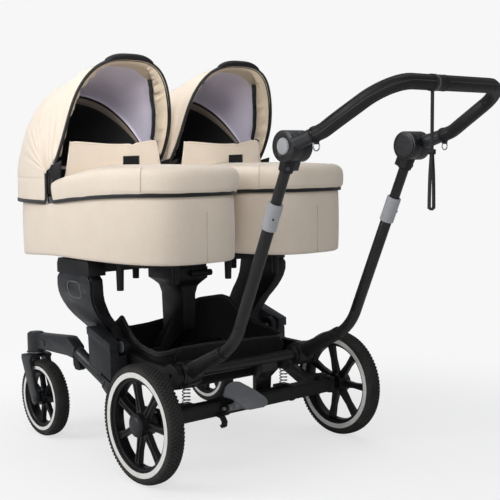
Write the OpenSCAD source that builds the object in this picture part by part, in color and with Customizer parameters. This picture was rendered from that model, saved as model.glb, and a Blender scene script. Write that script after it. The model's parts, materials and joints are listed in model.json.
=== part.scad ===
// Twin pram with two side by side carrycots, a folding chassis and a one-piece handlebar.
// X points to the pram's right, Y in the direction of travel, Z up. Sizes are in millimetres.

/* [Wheels] */
// Radius of the rear tyres
rear_wheel_r = 155; // [150:0.5:160]
// Width of the rear tyres
rear_tyre_w = 46; // [40:0.5:47]
// Outer face of the rear tyres, from the middle
rear_face_x = 374; // [370:1:380]
// Radius of the front tyres
front_wheel_r = 115; // [110:0.5:118]
// Width of the front tyres
front_tyre_w = 44; // [38:0.5:46]
// Spokes in each wheel
spoke_count = 7; // [5:1:8]

/* [Chassis] */
// Distance from the middle to the casters' swivel axes
caster_x = 312; // [310:1:316]
// Front wheel axle, ahead of the rear axle
front_axle_y = 572; // [565:1:580]
// Trail of the casters
caster_trail = 46; // [42:1:50]
// Distance from the middle to the lower side tubes
rail_x = 304; // [303:0.5:305]
// Radius of the lower side tubes
rail_r = 17; // [15:0.5:17]
// Thickness of the side frames
frame_t = 40; // [36:1:44]
// Top of the side frames
frame_top = 510; // [508:1:510]
// Width of the centre upright
centre_w = 44; // [38:1:46]

/* [Handle] */
// Distance from the middle to the handle tubes
handle_x = 205; // [203:0.5:206]
// Radius of the lower handle tubes
lower_tube_r = 15; // [14.6:0.1:15.4]
// Radius of the telescopic tubes
upper_tube_r = 13; // [12.6:0.1:13.2]
// Distance from tilt axis to the middle of the grey sleeves
sleeve_at = 178; // [170:1:186]
// Length of the grey sleeves
sleeve_len = 65; // [60:1:70]
// Radius of the tilt hubs
tilt_r = 36; // [34:0.5:37]
// Radius of the leather-covered grip
grip_r = 16.5; // [16:0.1:17]

/* [Carrycots] */
// Distance from the middle to each carrycot's centre line
cot_x = 195; // [194:0.5:200]
// Half of a carrycot's width
cot_hw = 182; // [178:1:183]
// Half of a carrycot's length
cot_hl = 402; // [395:1:405]
// Middle of the carrycots, ahead of the rear axle
cot_y = 330; // [326:1:332]
// Underside of the carrycots' fabric
cot_bottom = 557; // [556:1:560]
// Thickness of the padded walls
cot_wall = 10; // [8:0.5:12]

/* [Fits] */
// Radial clearance of turning pins
pin_gap = 0.05; // [0.02:0.01:0.09]
// Clearance of sliding parts
slide_gap = 0.4; // [0.3:0.05:0.6]
// Space under a piece that lies on another
seat_gap = 0.3; // [0.2:0.05:0.5]

/* [Hidden] */
$fn = 72;
// The origin lies under the middle of the whole part
bar_y = -690;
bar_z = 985;
hood_y = 404;
hood_z = 789;
hood_w = 185;
hood_front_r = 345;
frame_y = -((hood_y + hood_front_r) + (bar_y - grip_r)) / 2;
// Rear suspension pivot and rail direction
pivot_y = 200;
rail_slope = 0.404;
rail_a = atan(rail_slope);
pivot_z = 214 + (pivot_y - 231) * rail_slope;
function rail_z(y) = 214 + (y - 231) * rail_slope;
// Fold axis and tilt axis of the handle
fold_y = 10;
fold_z = 262;
tilt_y = -404;
tilt_z = 853;
lower_a = 26.7;
upper_a = 66.4;
bend_r = 145;
// Straight length from the tilt axis to the bend
bend_t = bend_r * tan((upper_a - lower_a) / 2);
corner_y = -189.7;
corner_z = 362.4;
corner_t = norm([tilt_y - corner_y, tilt_z - corner_z]);
straight_t = corner_t - bend_t;
lower_s = norm([corner_y - fold_y, corner_z - fold_z]) - bend_t;
outer_tilt_x = handle_x - 0.5;
cot_n_rear = 3.2;
cot_n_front = 2.5;
cot_points = 48;

// Shared helpers

module place() {
    translate([0, frame_y, 0])
        children();
}

// Puts a part drawn for the right side on the named side
module on_side(side) {
    place()
        mirror([side < 0 ? 1 : 0, 0, 0])
            children();
}

// A solid between two planes of constant X from an outline in Y and Z
module slab(x0, x1, points) {
    translate([x0, 0, 0])
        rotate([90, 0, 90])
            linear_extrude(x1 - x0)
                polygon(points);
}

// A cylinder along X
module rod(x0, x1, y, z, r) {
    translate([x0, y, z])
        rotate([0, 90, 0])
            cylinder(r = r, h = x1 - x0);
}

// Joins rings of equal point count into one closed solid
module skin(rings) {
    n = len(rings[0]);
    m = len(rings);
    pts = [for (r = rings, p = r) p];
    sides = [for (k = [0:m - 2], i = [0:n - 1])
        each [[k * n + i, (k + 1) * n + (i + 1) % n, k * n + (i + 1) % n],
              [k * n + i, (k + 1) * n + i, (k + 1) * n + (i + 1) % n]]];
    low = [[for (i = [0:n - 1]) i]];
    high = [[for (i = [n - 1:-1:0]) (m - 1) * n + i]];
    polyhedron(points = pts, faces = concat(sides, low, high), convexity = 8);
}

// Frames along a path for a flat or round section
function unit(v) = v / norm(v);
function tangent(p, i) =
    unit(p[min(i + 1, len(p) - 1)] - p[max(i - 1, 0)]);

// Sweeps an oval section along a path, up is a direction never along the path
module sweep(path, a, b, up, sides = 8) {
    rings = [for (i = [0:len(path) - 1])
        let (t = tangent(path, i), s = unit(cross(t, up)), u = cross(s, t))
            [for (k = [0:sides - 1])
                path[i] + s * a * cos(-k * 360 / sides) + u * b * sin(-k * 360 / sides)]];
    skin(rings);
}

// Wheels

module tyre(r, inner_r, w) {
    rotate_extrude()
        polygon([
            [inner_r, -w * 0.36], [inner_r + 4, -w * 0.44], [r - 22, -w * 0.48], [r - 14, -w / 2],
            [r - 8, -w * 0.46], [r - 3, -w * 0.35], [r - 0.6, -w * 0.18], [r, 0],
            [r - 0.6, w * 0.18], [r - 3, w * 0.35], [r - 8, w * 0.46], [r - 14, w / 2],
            [r - 22, w * 0.48], [inner_r + 4, w * 0.44], [inner_r, w * 0.36]
        ]);
}

// Rim, spokes and hub around Z, with the outer side towards +Z
module rim(r, w, hub_r, hub_w, bore, spoke_w, spoke_t) {
    difference() {
        union() {
            rotate_extrude()
                polygon([
                    [r - 5, -w / 2], [r, -w / 2], [r, w / 2], [r - 6, w / 2], [r - 9, w / 2 - 4],
                    [r - 9, -w / 2 + 6]
                ]);
            cylinder(r = hub_r, h = hub_w, center = true);
            for (k = [0:spoke_count - 1])
                rotate([0, 0, k * 360 / spoke_count + 12])
                    translate([0, 0, -spoke_t / 2])
                        linear_extrude(spoke_t)
                            polygon([
                                [hub_r - 4, -spoke_w * 0.65], [r * 0.6, -spoke_w * 0.42],
                                [r - 7, -spoke_w * 0.6], [r - 7, spoke_w * 0.6],
                                [r * 0.6, spoke_w * 0.42], [hub_r - 4, spoke_w * 0.65]
                            ]);
        }
        cylinder(r = bore, h = hub_w + 2, center = true);
        for (k = [0:spoke_count - 1])
            rotate([0, 0, k * 360 / spoke_count + 12])
                translate([hub_r + 6, -spoke_w * 0.16, spoke_t / 2 - 2.5])
                    cube([r - hub_r - 22, spoke_w * 0.32, 4]);
    }
}

rear_mid_x = rear_face_x - rear_tyre_w / 2;
rear_rim_r = rear_wheel_r - 36;
rear_pin_r = 6;
rear_hub_in = rear_face_x - rear_tyre_w - 2;
front_rim_r = front_wheel_r - 31;
front_pin_r = 5;

module rear_tyre(side) {
    color("#2b2623")
        on_side(side)
            translate([rear_mid_x, 0, rear_wheel_r])
                rotate([0, 90, 0])
                    tyre(rear_wheel_r, rear_rim_r, rear_tyre_w);
}

module rear_rim(side) {
    color("#1d1d1f")
        on_side(side)
            translate([rear_mid_x, 0, rear_wheel_r])
                rotate([0, 90, 0])
                    difference() {
                        rim(rear_rim_r, rear_tyre_w * 0.72, 30, rear_tyre_w,
                            rear_pin_r + pin_gap, 17, 15);
                        // Ring groove that takes the brake bolt
                        translate([0, 0, -rear_tyre_w / 2 - 1])
                            rotate_extrude()
                                translate([17, 0])
                                    square([11, 8]);
                    }
}

module hub_cap(side) {
    color("#3b3b3d")
        on_side(side)
            translate([rear_face_x, 0, rear_wheel_r])
                rotate([0, 90, 0])
                    rotate_extrude()
                        polygon([[0, 0.6], [14, 0.6], [14, 0], [25, 0], [24.5, 2], [21, 5], [14, 7.4], [0, 8.4]]);
}

module front_tyre(side) {
    color("#2b2623")
        on_side(side)
            translate([caster_x, front_axle_y, front_wheel_r])
                rotate([0, 90, 0])
                    tyre(front_wheel_r, front_rim_r, front_tyre_w);
}

module front_rim(side) {
    color("#1d1d1f")
        on_side(side)
            translate([caster_x, front_axle_y, front_wheel_r])
                rotate([0, 90, 0])
                    rim(front_rim_r, front_tyre_w * 0.72, 20, 40,
                        front_pin_r + pin_gap, 12, 13);
}

caster_y = front_axle_y + caster_trail;
stem_r = 8;

module fork(side) {
    color("#2f3033")
        on_side(side) {
            union() {
                union() {
                    // Stem, washer and collar under the swivel head
                    translate([caster_x, caster_y, 240])
                        cylinder(r = stem_r, h = 53);
                    translate([caster_x, caster_y, 243])
                        cylinder(r = 23, h = 2.6);
                    translate([caster_x, caster_y, 242])
                        cylinder(r = 13, h = 7.5);
                    slab(caster_x - 37, caster_x + 37, [
                        [caster_y - 26, 234], [caster_y + 26, 234], [caster_y + 24, 240],
                        [caster_y + 14, 243], [caster_y - 14, 243], [caster_y - 24, 240]
                    ]);
                    for (s = [-1, 1]) {
                        slab(caster_x + s * 32 - 5, caster_x + s * 32 + 5, [
                            [caster_y + 26, 240], [caster_y + 27, 228], [front_axle_y + 16, 106],
                            [front_axle_y + 10, 100], [front_axle_y - 8, 100],
                            [front_axle_y - 14, 108], [front_axle_y - 12, 130],
                            [caster_y - 20, 226], [caster_y - 26, 240]
                        ]);
                        rod(caster_x + s * 24 - 3.5, caster_x + s * 24 + 3.5,
                            front_axle_y, front_wheel_r, 10);
                        rod(caster_x + s * 36 - 2, caster_x + s * 36 + 4,
                            front_axle_y, front_wheel_r, 9);
                    }
                    rod(caster_x - 36, caster_x + 36, front_axle_y, front_wheel_r, front_pin_r);
                }
            }
        }
}

// Rear axle, suspension and brake

module rear_axle() {
    color("#232325")
        place() {
            difference() {
                union() {
                    slab(-300, 300, [
                        [-22, 142], [-18, 138], [18, 138], [22, 142], [22, 170], [17, 176],
                        [-17, 176], [-22, 170]
                    ]);
                    for (x = [-92, 148])
                        slab(x - 6, x + 6, [
                            [-24, 140], [-19, 135.5], [19, 135.5], [24, 140], [24, 172],
                            [18, 178.5], [-18, 178.5], [-24, 172]
                        ]);
                    for (s = [-1, 1])
                        mirror([s < 0 ? 1 : 0, 0, 0]) {
                            // Trailing arm with its pivot eye
                            difference() {
                                union() {
                                    slab(292, 312, [
                                        [-24, 136], [22, 134], [110, 142], [206, 184],
                                        [192, 218], [96, 176], [30, 182], [-24, 182]
                                    ]);
                                    rod(292, 312, pivot_y, pivot_z, 18);
                                }
                                rod(290, 314, pivot_y, pivot_z, 6 + pin_gap);
                            }
                            // Stub axle that carries the wheel
                            rod(308, rear_hub_in - 0.6, 0, rear_wheel_r, 14);
                            rod(308, rear_face_x - 2, 0, rear_wheel_r, rear_pin_r);
                            // Lower seat of the spring
                            slab(155, 197, [[16, 158], [72, 158], [74, 161], [72, 167], [16, 167]]);
                            // Housing of the brake bolt
                            slab(262, 292, [[-12, 174], [12, 174], [12, 188], [8, 192], [-8, 192], [-12, 188]]);
                        }
                    // Pedal lugs and the hook under the beam
                    for (x = [-108, -14])
                        slab(x - 4, x + 4, [[-18, 146], [-34, 149], [-45, 156], [-45, 164], [-36, 171], [-18, 172]]);
                    slab(-132, -120, [
                        [-20, 150], [-44, 146], [-56, 132], [-54, 118], [-44, 112], [-36, 118],
                        [-44, 124], [-44, 130], [-36, 138], [-16, 140]
                    ]);
                }
                for (s = [-1, 1])
                    mirror([s < 0 ? 1 : 0, 0, 0]) {
                        rod(252, 316, 0, rear_wheel_r + 22.5, 4 + 0.3);
                    }
                rod(-120, -2, pedal_y, pedal_z, 5 + pin_gap);
            }
        }
}

pedal_y = -35;
pedal_z = 160;

module brake_bolt(side) {
    color("#9a9da0")
        on_side(side) {
            rod(266, 316, 0, rear_wheel_r + 22.5, 4);
        }
}

module brake_pedal() {
    color("#77797c")
        place()
            difference() {
                union() {
                    rod(-119, -3, pedal_y, pedal_z, 5);
                    rod(-103.6, -18.4, pedal_y, pedal_z, 9.5);
                    translate([0, pedal_y, pedal_z])
                        rotate([-32, 0, 0])
                            translate([0, -22, -2])
                                rotate([90, 0, 0]) {
                                    linear_extrude(8)
                                        polygon([
                                            [-121, 34], [-108, 52], [-92, 60], [-74, 63], [-56, 59],
                                            [-18, 30], [8, 4], [13, -6], [8, -18], [-2, -22],
                                            [-52, -21], [-72, -14], [-84, 2], [-98, 18], [-114, 26]
                                        ]);
                                }
                    translate([0, pedal_y, pedal_z])
                        rotate([-32, 0, 0])
                            translate([-92, -24, -8])
                                cube([64, 22, 16]);
                }
            }
}

// Centre line of a coil spring, twelve points to a turn
function coil_path(x, y, z0, z1, r, turns) = [for (i = [0:turns * 12])
    [x + r * cos(i * 30), y + r * sin(i * 30), z0 + (z1 - z0) * i / (turns * 12)]];

// Least free gap between the turns, measured on the points
function coil_gap(path, wire) = min([for (i = [0:len(path) - 9])
    for (j = [i + 8:len(path) - 1]) norm(path[i] - path[j]) - 2 * wire]);

module rear_springs() {
    color("#c9ccd0")
        place()
            for (x = [-176, 176])
                sweep(coil_path(x, 50, 168.6, 215, 10.5, 5), 1.6, 1.6, [0, 0, 1], 6);
}
echo(spring_gap = coil_gap(coil_path(176, 50, 168.6, 215, 10.5, 5), 1.6));

// Chassis

module cross_tube() {
    color("#29292b")
        place() {
            difference() {
                union() {
                    rod(-172, 172, fold_y, fold_z, 15);
                    for (s = [-1, 1])
                        mirror([s < 0 ? 1 : 0, 0, 0]) {
                            rod(170, 177.4, fold_y, fold_z, 27);
                            rod(170, 236, fold_y, fold_z, 10);
                            // Upper seat of the spring
                            slab(158, 170, [[8, 250], [36, 240], [70, 226], [72, 216.8], [28, 216.8], [4, 236]]);
                            slab(158, 196, [[26, 216.8], [74, 216.8], [76, 221], [72, 226], [28, 226]]);
                        }
                    // Brake cable housing and cover under the tube
                    slab(52, 108, [[0, 252], [24, 247], [42, 240], [42, 172], [28, 172], [26, 205], [0, 228]]);
                }
            }
        }
}

// Outer face of the side frame as X against Z, from the top down
frame_x = [
    [357, 510], [356.5, 490], [355.5, 474], [352, 456], [346, 440], [337, 424], [325, 406],
    [311, 388], [297, 371], [284, 356], [274, 342], [268, 328], [265, 312], [264, 296], [264, 238]
];
function shifted(list, d) = [for (p = list) [p[0] - d, p[1]]];
function reversed(list) = [for (i = [len(list) - 1:-1:0]) list[i]];

// Extrudes an outline in X and Z along Y
module along_y(y0, y1, points) {
    translate([0, y1, 0])
        rotate([90, 0, 0])
            linear_extrude(y1 - y0)
                polygon(points);
}

module side_cover(side) {
    band = [for (i = [0:10]) frame_x[i]];
    color("#5c5e61")
        on_side(side)
            difference() {
                intersection() {
                    along_y(225, 412, concat(band, reversed(shifted(band, 5.6))));
                    slab(250, 380, [
                        [235, 498], [247, 510], [392, 510], [404, 498], [407, 470], [408, 430],
                        [407, 404], [401, 383], [388, 366], [372, 342], [276, 342], [268, 366],
                        [264, 392], [250, 424], [240, 452], [234, 478]
                    ]);
                }
                // Shallow oval recess, left bare
                translate([353, 318, 468])
                    rotate([0, 90, 0])
                        linear_extrude(10)
                            hull() {
                                translate([-9, 18])
                                    circle(r = 12);
                                translate([9, 18])
                                    circle(r = 12);
                                translate([-9, -18])
                                    circle(r = 12);
                                translate([9, -18])
                                    circle(r = 12);
                            }
            }
}

module side_frame(side) {
    inner = shifted(frame_x, 6);
    color("#1c1c1e")
        on_side(side)
            difference() {
                union() {
                    intersection() {
                        along_y(200, 412, concat(inner, reversed(shifted(frame_x, 6 + frame_t - 6))));
                        slab(200, 380, [
                            [231, 500], [243, 510], [396, 510], [407, 498], [409, 470], [409, 404],
                            [402, 380], [380, 350], [352, 318], [340, 290], [340, 238], [240, 238],
                            [232, 262], [236, 300], [262, 346], [258, 392], [244, 424], [235, 452],
                            [230, 478]
                        ]);
                    }
                    // Foot that sweeps back to the fold hub
                    difference() {
                        slab(236, 257, [
                            [300, 244], [290, 330], [272, 342], [252, 318], [224, 303], [190, 295],
                            [123, 285], [60, 284], [34, 281], [28, 244], [60, 238], [200, 236]
                        ]);
                        rod(230, 260, fold_y, fold_z, 31.5);
                    }
                    rod(236, 257, fold_y, fold_z, 31.5);
                    // Housing of the fold button
                    rod(257, 274, 214, 312, 24);
                }
                // Seat for the carrycot's tongue
                translate([321 - slide_gap, 280 - slide_gap, frame_top - 30])
                    cube([14 + 2 * slide_gap, 84 + 2 * slide_gap, 40]);
                rod(262, 280, 214, 312, 16 + slide_gap);
                rod(252, 262, 214, 312, 6 + slide_gap);
                // Hexagon recess in the end of the fold axis
                translate([250, fold_y, fold_z])
                    rotate([0, 90, 0])
                        cylinder(r = 7, h = 10, $fn = 6);
            }
}

module fold_button(side) {
    color("#6a6c6f")
        on_side(side) {
            rod(266, 277, 214, 312, 16);
            rod(256, 266, 214, 312, 6);
        }
}

module hinge_block(side) {
    outer = shifted(frame_x, -0.4);
    color("#4c4e51")
        on_side(side)
            difference() {
                union() {
                    slab(264.4, 318, [
                        [306, 256], [312, 350], [298, 352], [200, 322], [198, 232], [206, 226.5],
                        [246, 243], [250, 233.5]
                    ]);
                    slab(280, 322, [[310, 340], [313, 362], [300, 362], [196, 330], [196, 306]]);
                }
                // Room for the curved frame above and for the fold button
                along_y(150, 420, concat(outer, [[200, 238], [200, 510]]));
                rod(260, 290, 214, 312, 25);
                translate([316, 190, 300])
                    rotate([18, 0, 0])
                        cube([10, 130, 3]);
                // Room for the lower tube
                translate([rail_x, 231, 214])
                    rotate([rail_a, 0, 0])
                        translate([0, -80, 0])
                            rotate([-90, 0, 0])
                                cylinder(r = rail_r + 0.1, h = 240);
            }
}

module lower_rail(side) {
    color("#3a3b3d")
        on_side(side) {
            difference() {
                union() {
                    // Tube with the two rings and the sleeve between them
                    translate([rail_x, 231, 214])
                        rotate([rail_a, 0, 0]) {
                            rotate([-90, 0, 0])
                                cylinder(r = rail_r, h = 168);
                            translate([0, 0, 0])
                                rotate([-90, 0, 0])
                                    cylinder(r = rail_r + 1, h = 8);
                            translate([0, 154, 0])
                                rotate([-90, 0, 0])
                                    cylinder(r = rail_r + 1, h = 8);
                        }
                    for (x = [284.5, 312.7])
                        slab(x, x + 6.8, [
                            [pivot_y + 12, pivot_z - 19], [pivot_y + 44, rail_z(244) - 15],
                            [pivot_y + 38, rail_z(238) + 17], [pivot_y - 2, pivot_z + 18],
                            [pivot_y - 14, pivot_z + 12], [pivot_y - 17, pivot_z],
                            [pivot_y - 10, pivot_z - 14], [pivot_y, pivot_z - 18]
                        ]);
                    rod(284.5, 319.5, pivot_y, pivot_z, 6);
                }
            }
        }
}

module front_arm(side) {
    color("#2a2b2d")
        on_side(side)
            difference() {
                union() {
                    translate([caster_x, caster_y, 250])
                        cylinder(r = 26, h = 52);
                    translate([caster_x, caster_y, 302])
                        cylinder(r1 = 26, r2 = 21, h = 5);
                    slab(rail_x - 16, rail_x + 18, [
                        [caster_y, 264], [caster_y, 303], [570, 306], [500, 312], [440, 317],
                        [420, 317], [404, 308], [388, 297.5], [381, 292], [390, 262], [420, 265],
                        [570, 262]
                    ]);
                    // Plate with the two screws
                    slab(rail_x + 17, rail_x + 21, [[584, 273], [584, 291], [552, 291], [546, 282], [552, 273]]);
                }
                translate([caster_x, caster_y, 245])
                    cylinder(r = stem_r + pin_gap, h = 50);
                // Socket for the end of the lower tube
                translate([rail_x, 231, 214])
                    rotate([rail_a, 0, 0])
                        rotate([-90, 0, 0])
                            cylinder(r = rail_r + 0.1, h = 169);
                for (y = [558, 574])
                    rod(rail_x + 18.5, rail_x + 24, y, 282, 3);
            }
}

module centre_upright() {
    color("#202022")
        place() {
            difference() {
                union() {
                    intersection() {
                        slab(-70, 70, [
                            [250, 505], [250, 474], [264, 452], [266, 322], [346, 254], [350, 226],
                            [420, 226], [422, 258], [366, 318], [374, 452], [390, 472], [390, 505]
                        ]);
                        along_y(200, 440, [
                            [-centre_w / 2, 200], [centre_w / 2, 200], [centre_w / 2, 425],
                            [30, 448], [44, 462], [57, 472], [58, 505], [-58, 505], [-57, 472],
                            [-44, 462], [-30, 448], [-centre_w / 2, 425]
                        ]);
                    }
                    // Tube through the basket, with collars on both sides of its walls
                    rod(-300, 300, 386, 241, 14);
                    for (s = [-1, 1])
                        mirror([s < 0 ? 1 : 0, 0, 0]) {
                            rod(basket_w - 8.6, basket_w - 3.4, 386, 241, 18);
                            rod(basket_w + 0.2, basket_w + 6, 386, 241, 20);
                            // Foot under the front arm
                            slab(290, 308, [
                                [372, 234], [380, 226], [400, 226], [411, 238], [413, 264.3],
                                [396, 262.4], [384, 251]
                            ]);
                        }
                    // Release bar behind the head
                    rod(-12, 62, 241, 489, 8);
                    rod(50, 62, 241, 489, 9.5);
                }
                // Two sockets for the carrycots' inner tongues
                for (s = [-1, 1])
                    translate([s * 31 - 7 - slide_gap, 280 - slide_gap, 475])
                        cube([14 + 2 * slide_gap, 84 + 2 * slide_gap, 40]);
                // Shallow plain panel on both sides, left bare
                for (s = [-1, 1])
                    translate([s * centre_w / 2 - (s < 0 ? 1 : 0), 274, 330])
                        cube([1, 84, 84]);
            }
        }
}

// Basket of soft fabric with its top edge drawn up to the uprights

basket_w = 224;
basket_back = 80;
basket_front = 470;
basket_floor = 196;
// Points round the plan, with the height of the top edge at each
basket_plan = [
    [-basket_w, 200, 400], [-basket_w, 300, 368], [-basket_w, 400, 362], [-214, 452, 360],
    [-190, 470, 364], [-140, 476, 352], [-70, 478, 341], [0, 478, 340], [70, 478, 343],
    [140, 476, 366], [190, 470, 380], [214, 452, 376], [basket_w, 400, 370],
    [basket_w, 300, 368], [basket_w, 200, 400], [basket_w, 140, 352], [basket_w, 112, 330],
    [214, 96, 324], [180, basket_back, 326], [90, basket_back - 2, 322],
    [0, basket_back - 2, 320], [-90, basket_back - 2, 322], [-180, basket_back, 326],
    [-214, 96, 324], [-basket_w, 112, 330], [-basket_w, 140, 352]
];
function basket_ring(inset, z, mix) = [for (p = reversed(basket_plan))
    let (q = [p[0], p[1] - 262], k = inset / norm(q))
        [p[0] * (1 - k), 262 + q[1] * (1 - k), z + (p[2] - z) * mix]];

module basket() {
    color("#171718")
        place()
            difference() {
                skin([
                    basket_ring(22, basket_floor, 0), basket_ring(5, basket_floor + 8, 0),
                    basket_ring(0, basket_floor + 26, 0), basket_ring(0, basket_floor + 26, 0.55),
                    basket_ring(0, basket_floor, 1), basket_ring(2.6, basket_floor, 1),
                    basket_ring(2.6, basket_floor + 26, 0.55), basket_ring(2.6, basket_floor + 26, 0),
                    basket_ring(8, basket_floor + 10, 0), basket_ring(24, basket_floor + 3, 0)
                ]);
                // Holes for the chassis tube
                for (s = [-1, 1])
                    translate([s * basket_w, 386, 241])
                        rotate([0, 90, 0])
                            cylinder(r = 14.8, h = 30, center = true, $fn = 24);
            }
}

// Handle

// Local frame at the tilt axis, Z down the tube towards the bend
module along_tube() {
    translate([handle_x, tilt_y, tilt_z])
        rotate([180 + (90 - upper_a), 0, 0])
            children();
}

module handle_lower(side) {
    color("#242426")
        on_side(side)
            difference() {
                union() {
                    rod(178, 232, fold_y, fold_z, 31);
                    rod(186, 224, fold_y, fold_z, 33);
                    // Socket from the hub to the ring
                    translate([handle_x, fold_y, fold_z])
                        rotate([90 - lower_a, 0, 0]) {
                            translate([0, 0, 10])
                                cylinder(r1 = 22, r2 = 17.5, h = lower_s - 10);
                            translate([0, 0, lower_s - 10])
                                cylinder(r = 18.5, h = 14);
                        }
                    // Bend
                    translate([handle_x, corner_y, corner_z])
                        rotate([90 - lower_a, 0, 0])
                            translate([0, bend_r, -bend_t])
                                rotate([0, -90, 0])
                                    rotate([0, 0, -90])
                                        rotate_extrude(angle = upper_a - lower_a)
                                            translate([bend_r, 0])
                                                circle(r = lower_tube_r);
                    along_tube()
                        translate([0, 0, straight_t - 4])
                            cylinder(r = lower_tube_r - 1, h = 8);
                    along_tube()
                        translate([0, 0, sleeve_at - 28])
                            cylinder(r = lower_tube_r, h = straight_t - sleeve_at + 28);
                }
                rod(170, 240, fold_y, fold_z, 10 + pin_gap);
                along_tube()
                    translate([0, 0, sleeve_at - 40])
                        cylinder(r = upper_tube_r + slide_gap, h = straight_t - sleeve_at + 30);
                // Hole behind the extension button
                along_tube()
                    translate([0, 10, sleeve_at + 14])
                        rotate([-90, 0, 0])
                            cylinder(r = 5 + slide_gap, h = 12);
            }
}

module sleeve(side) {
    color("#8b8d90")
        on_side(side)
            along_tube()
                difference() {
                    union() {
                        translate([0, 0, sleeve_at - sleeve_len / 2])
                            cylinder(r = 18.4, h = sleeve_len);
                        translate([0, 0, sleeve_at - sleeve_len / 2 - 2])
                            cylinder(r1 = 16.6, r2 = 18.4, h = 2);
                    }
                    translate([0, 0, sleeve_at - 28])
                        cylinder(r = lower_tube_r + 0.1, h = sleeve_len);
                    translate([0, 0, sleeve_at - 60])
                        cylinder(r = upper_tube_r + slide_gap, h = 60);
                    translate([0, 10, sleeve_at + 14])
                        rotate([-90, 0, 0])
                            cylinder(r = 5 + slide_gap, h = 12);
                }
}

module extend_button(side) {
    color("#3a3b3d")
        on_side(side)
            along_tube()
                translate([0, 16, sleeve_at + 14])
                    rotate([-90, 0, 0])
                        cylinder(r = 5, h = 3.6);
}

module handle_upper(side) {
    color("#242426")
        on_side(side)
            difference() {
                union() {
                    rod(handle_x - 29, handle_x - 1, tilt_y, tilt_z, tilt_r);
                    along_tube() {
                        translate([0, 0, 37.5])
                            cylinder(r = upper_tube_r, h = 290);
                        translate([0, 0, 37.5])
                            cylinder(r = upper_tube_r + 2, h = 22);
                        translate([-27, -13, 0])
                            cube([26, 26, 56]);
                    }
                }
                rod(handle_x - 40, handle_x + 4, tilt_y, tilt_z, 9 + pin_gap);
                rod(handle_x - 30, handle_x - 26, tilt_y, tilt_z, 20);
            }
}

// Path of the bar: arm from the tilt hub, a gentle bend, then the corner and the straight grip
arm_x = handle_x + 15;
arm_a = 16;
rise_a = 31.8;
arm_bend_r = 90;
bar_corner_r = 78;
arm_len = 118;
rise_len = norm([tilt_y - arm_len * cos(arm_a) - bar_y, bar_z - tilt_z - arm_len * sin(arm_a)]);
rise_fix = atan2(bar_z - tilt_z - arm_len * sin(arm_a), tilt_y - arm_len * cos(arm_a) - bar_y);
arm_bend_t = arm_bend_r * tan((rise_fix - arm_a) / 2);

// One half of the bar on the right side. The bends are a touch thinner than the
// straight lengths, which run a little way over them
bend_step = 0.15;
bend_lap = 2;

module bar_half(r, from_hub) {
    translate([arm_x, tilt_y, tilt_z])
        rotate([90 - arm_a, 0, 0]) {
            if (from_hub)
                translate([0, 0, 8])
                    cylinder(r = r, h = arm_len - arm_bend_t - 8 + bend_lap);
            else
                translate([0, 0, arm_len - arm_bend_t - 3])
                    cylinder(r = r, h = 3 + bend_lap);
            translate([0, arm_bend_r, arm_len - arm_bend_t])
                rotate([0, -90, 0])
                    rotate([0, 0, -90])
                        rotate_extrude(angle = rise_fix - arm_a)
                            translate([arm_bend_r, 0])
                                circle(r = r - bend_step);
            translate([0, 0, arm_len])
                rotate([-(rise_fix - arm_a), 0, 0]) {
                    translate([0, 0, arm_bend_t - bend_lap])
                        cylinder(r = r, h = rise_len - arm_bend_t - bar_corner_r + 2 * bend_lap);
                    translate([-bar_corner_r, 0, rise_len - bar_corner_r])
                        rotate([90, 0, 0])
                            rotate_extrude(angle = 90)
                                translate([bar_corner_r, 0])
                                    circle(r = r - bend_step);
                }
        }
}

module bar(r, from_hub) {
    bar_half(r, from_hub);
    mirror([1, 0, 0])
        bar_half(r, from_hub);
    rod(bar_corner_r - arm_x - bend_lap, arm_x - bar_corner_r + bend_lap, bar_y, bar_z, r);
}

ring_y = -496;
ring_top = 861;

module handlebar() {
    color("#1f1f21")
        place() {
            difference() {
                union() {
                    bar(14, true);
                    for (s = [-1, 1])
                        mirror([s < 0 ? 1 : 0, 0, 0]) {
                            rod(outer_tilt_x, handle_x + 30, tilt_y, tilt_z, tilt_r);
                            rod(handle_x - 25, handle_x, tilt_y, tilt_z, 9);
                            translate([arm_x, tilt_y, tilt_z])
                                rotate([90 - arm_a, 0, 0])
                                    translate([0, 0, 20])
                                        cylinder(r1 = 15.4, r2 = 14.6, h = 60);
                            // Lug for the ring under the arm
                            slab(arm_x - 3, arm_x + 3, [
                                [ring_y - 6, ring_top - 5], [ring_y + 6, ring_top - 5],
                                [ring_y + 8, ring_top + 8], [ring_y - 8, ring_top + 12]
                            ]);
                        }
                }
                for (s = [-1, 1])
                    mirror([s < 0 ? 1 : 0, 0, 0]) {
                        // Pocket for the tilt button
                        rod(handle_x + 20, handle_x + 32, tilt_y, tilt_z, 19 + slide_gap);
                        rod(arm_x - 5, arm_x + 5, ring_y, ring_top, 2.4);
                    }
            }
        }
}

module grip_cover() {
    color("#26211f")
        place()
            difference() {
                bar(grip_r, false);
                bar(14.15, true);
            }
}

module tilt_button(side) {
    color("#8b8d90")
        on_side(side) {
            rod(handle_x + 25, handle_x + 31, tilt_y, tilt_z, 19);
            rod(handle_x + 31, handle_x + 33, tilt_y, tilt_z, 17.5);
        }
}

module d_ring(side) {
    color("#2d2d2f")
        on_side(side)
            translate([arm_x, ring_y, ring_top - 9.5])
                rotate([90, 0, 0])
                    rotate_extrude()
                        translate([9.5, 0])
                            circle(r = 1.5, $fn = 24);
}

strap_x = -50;
strap_w = 5;

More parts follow.
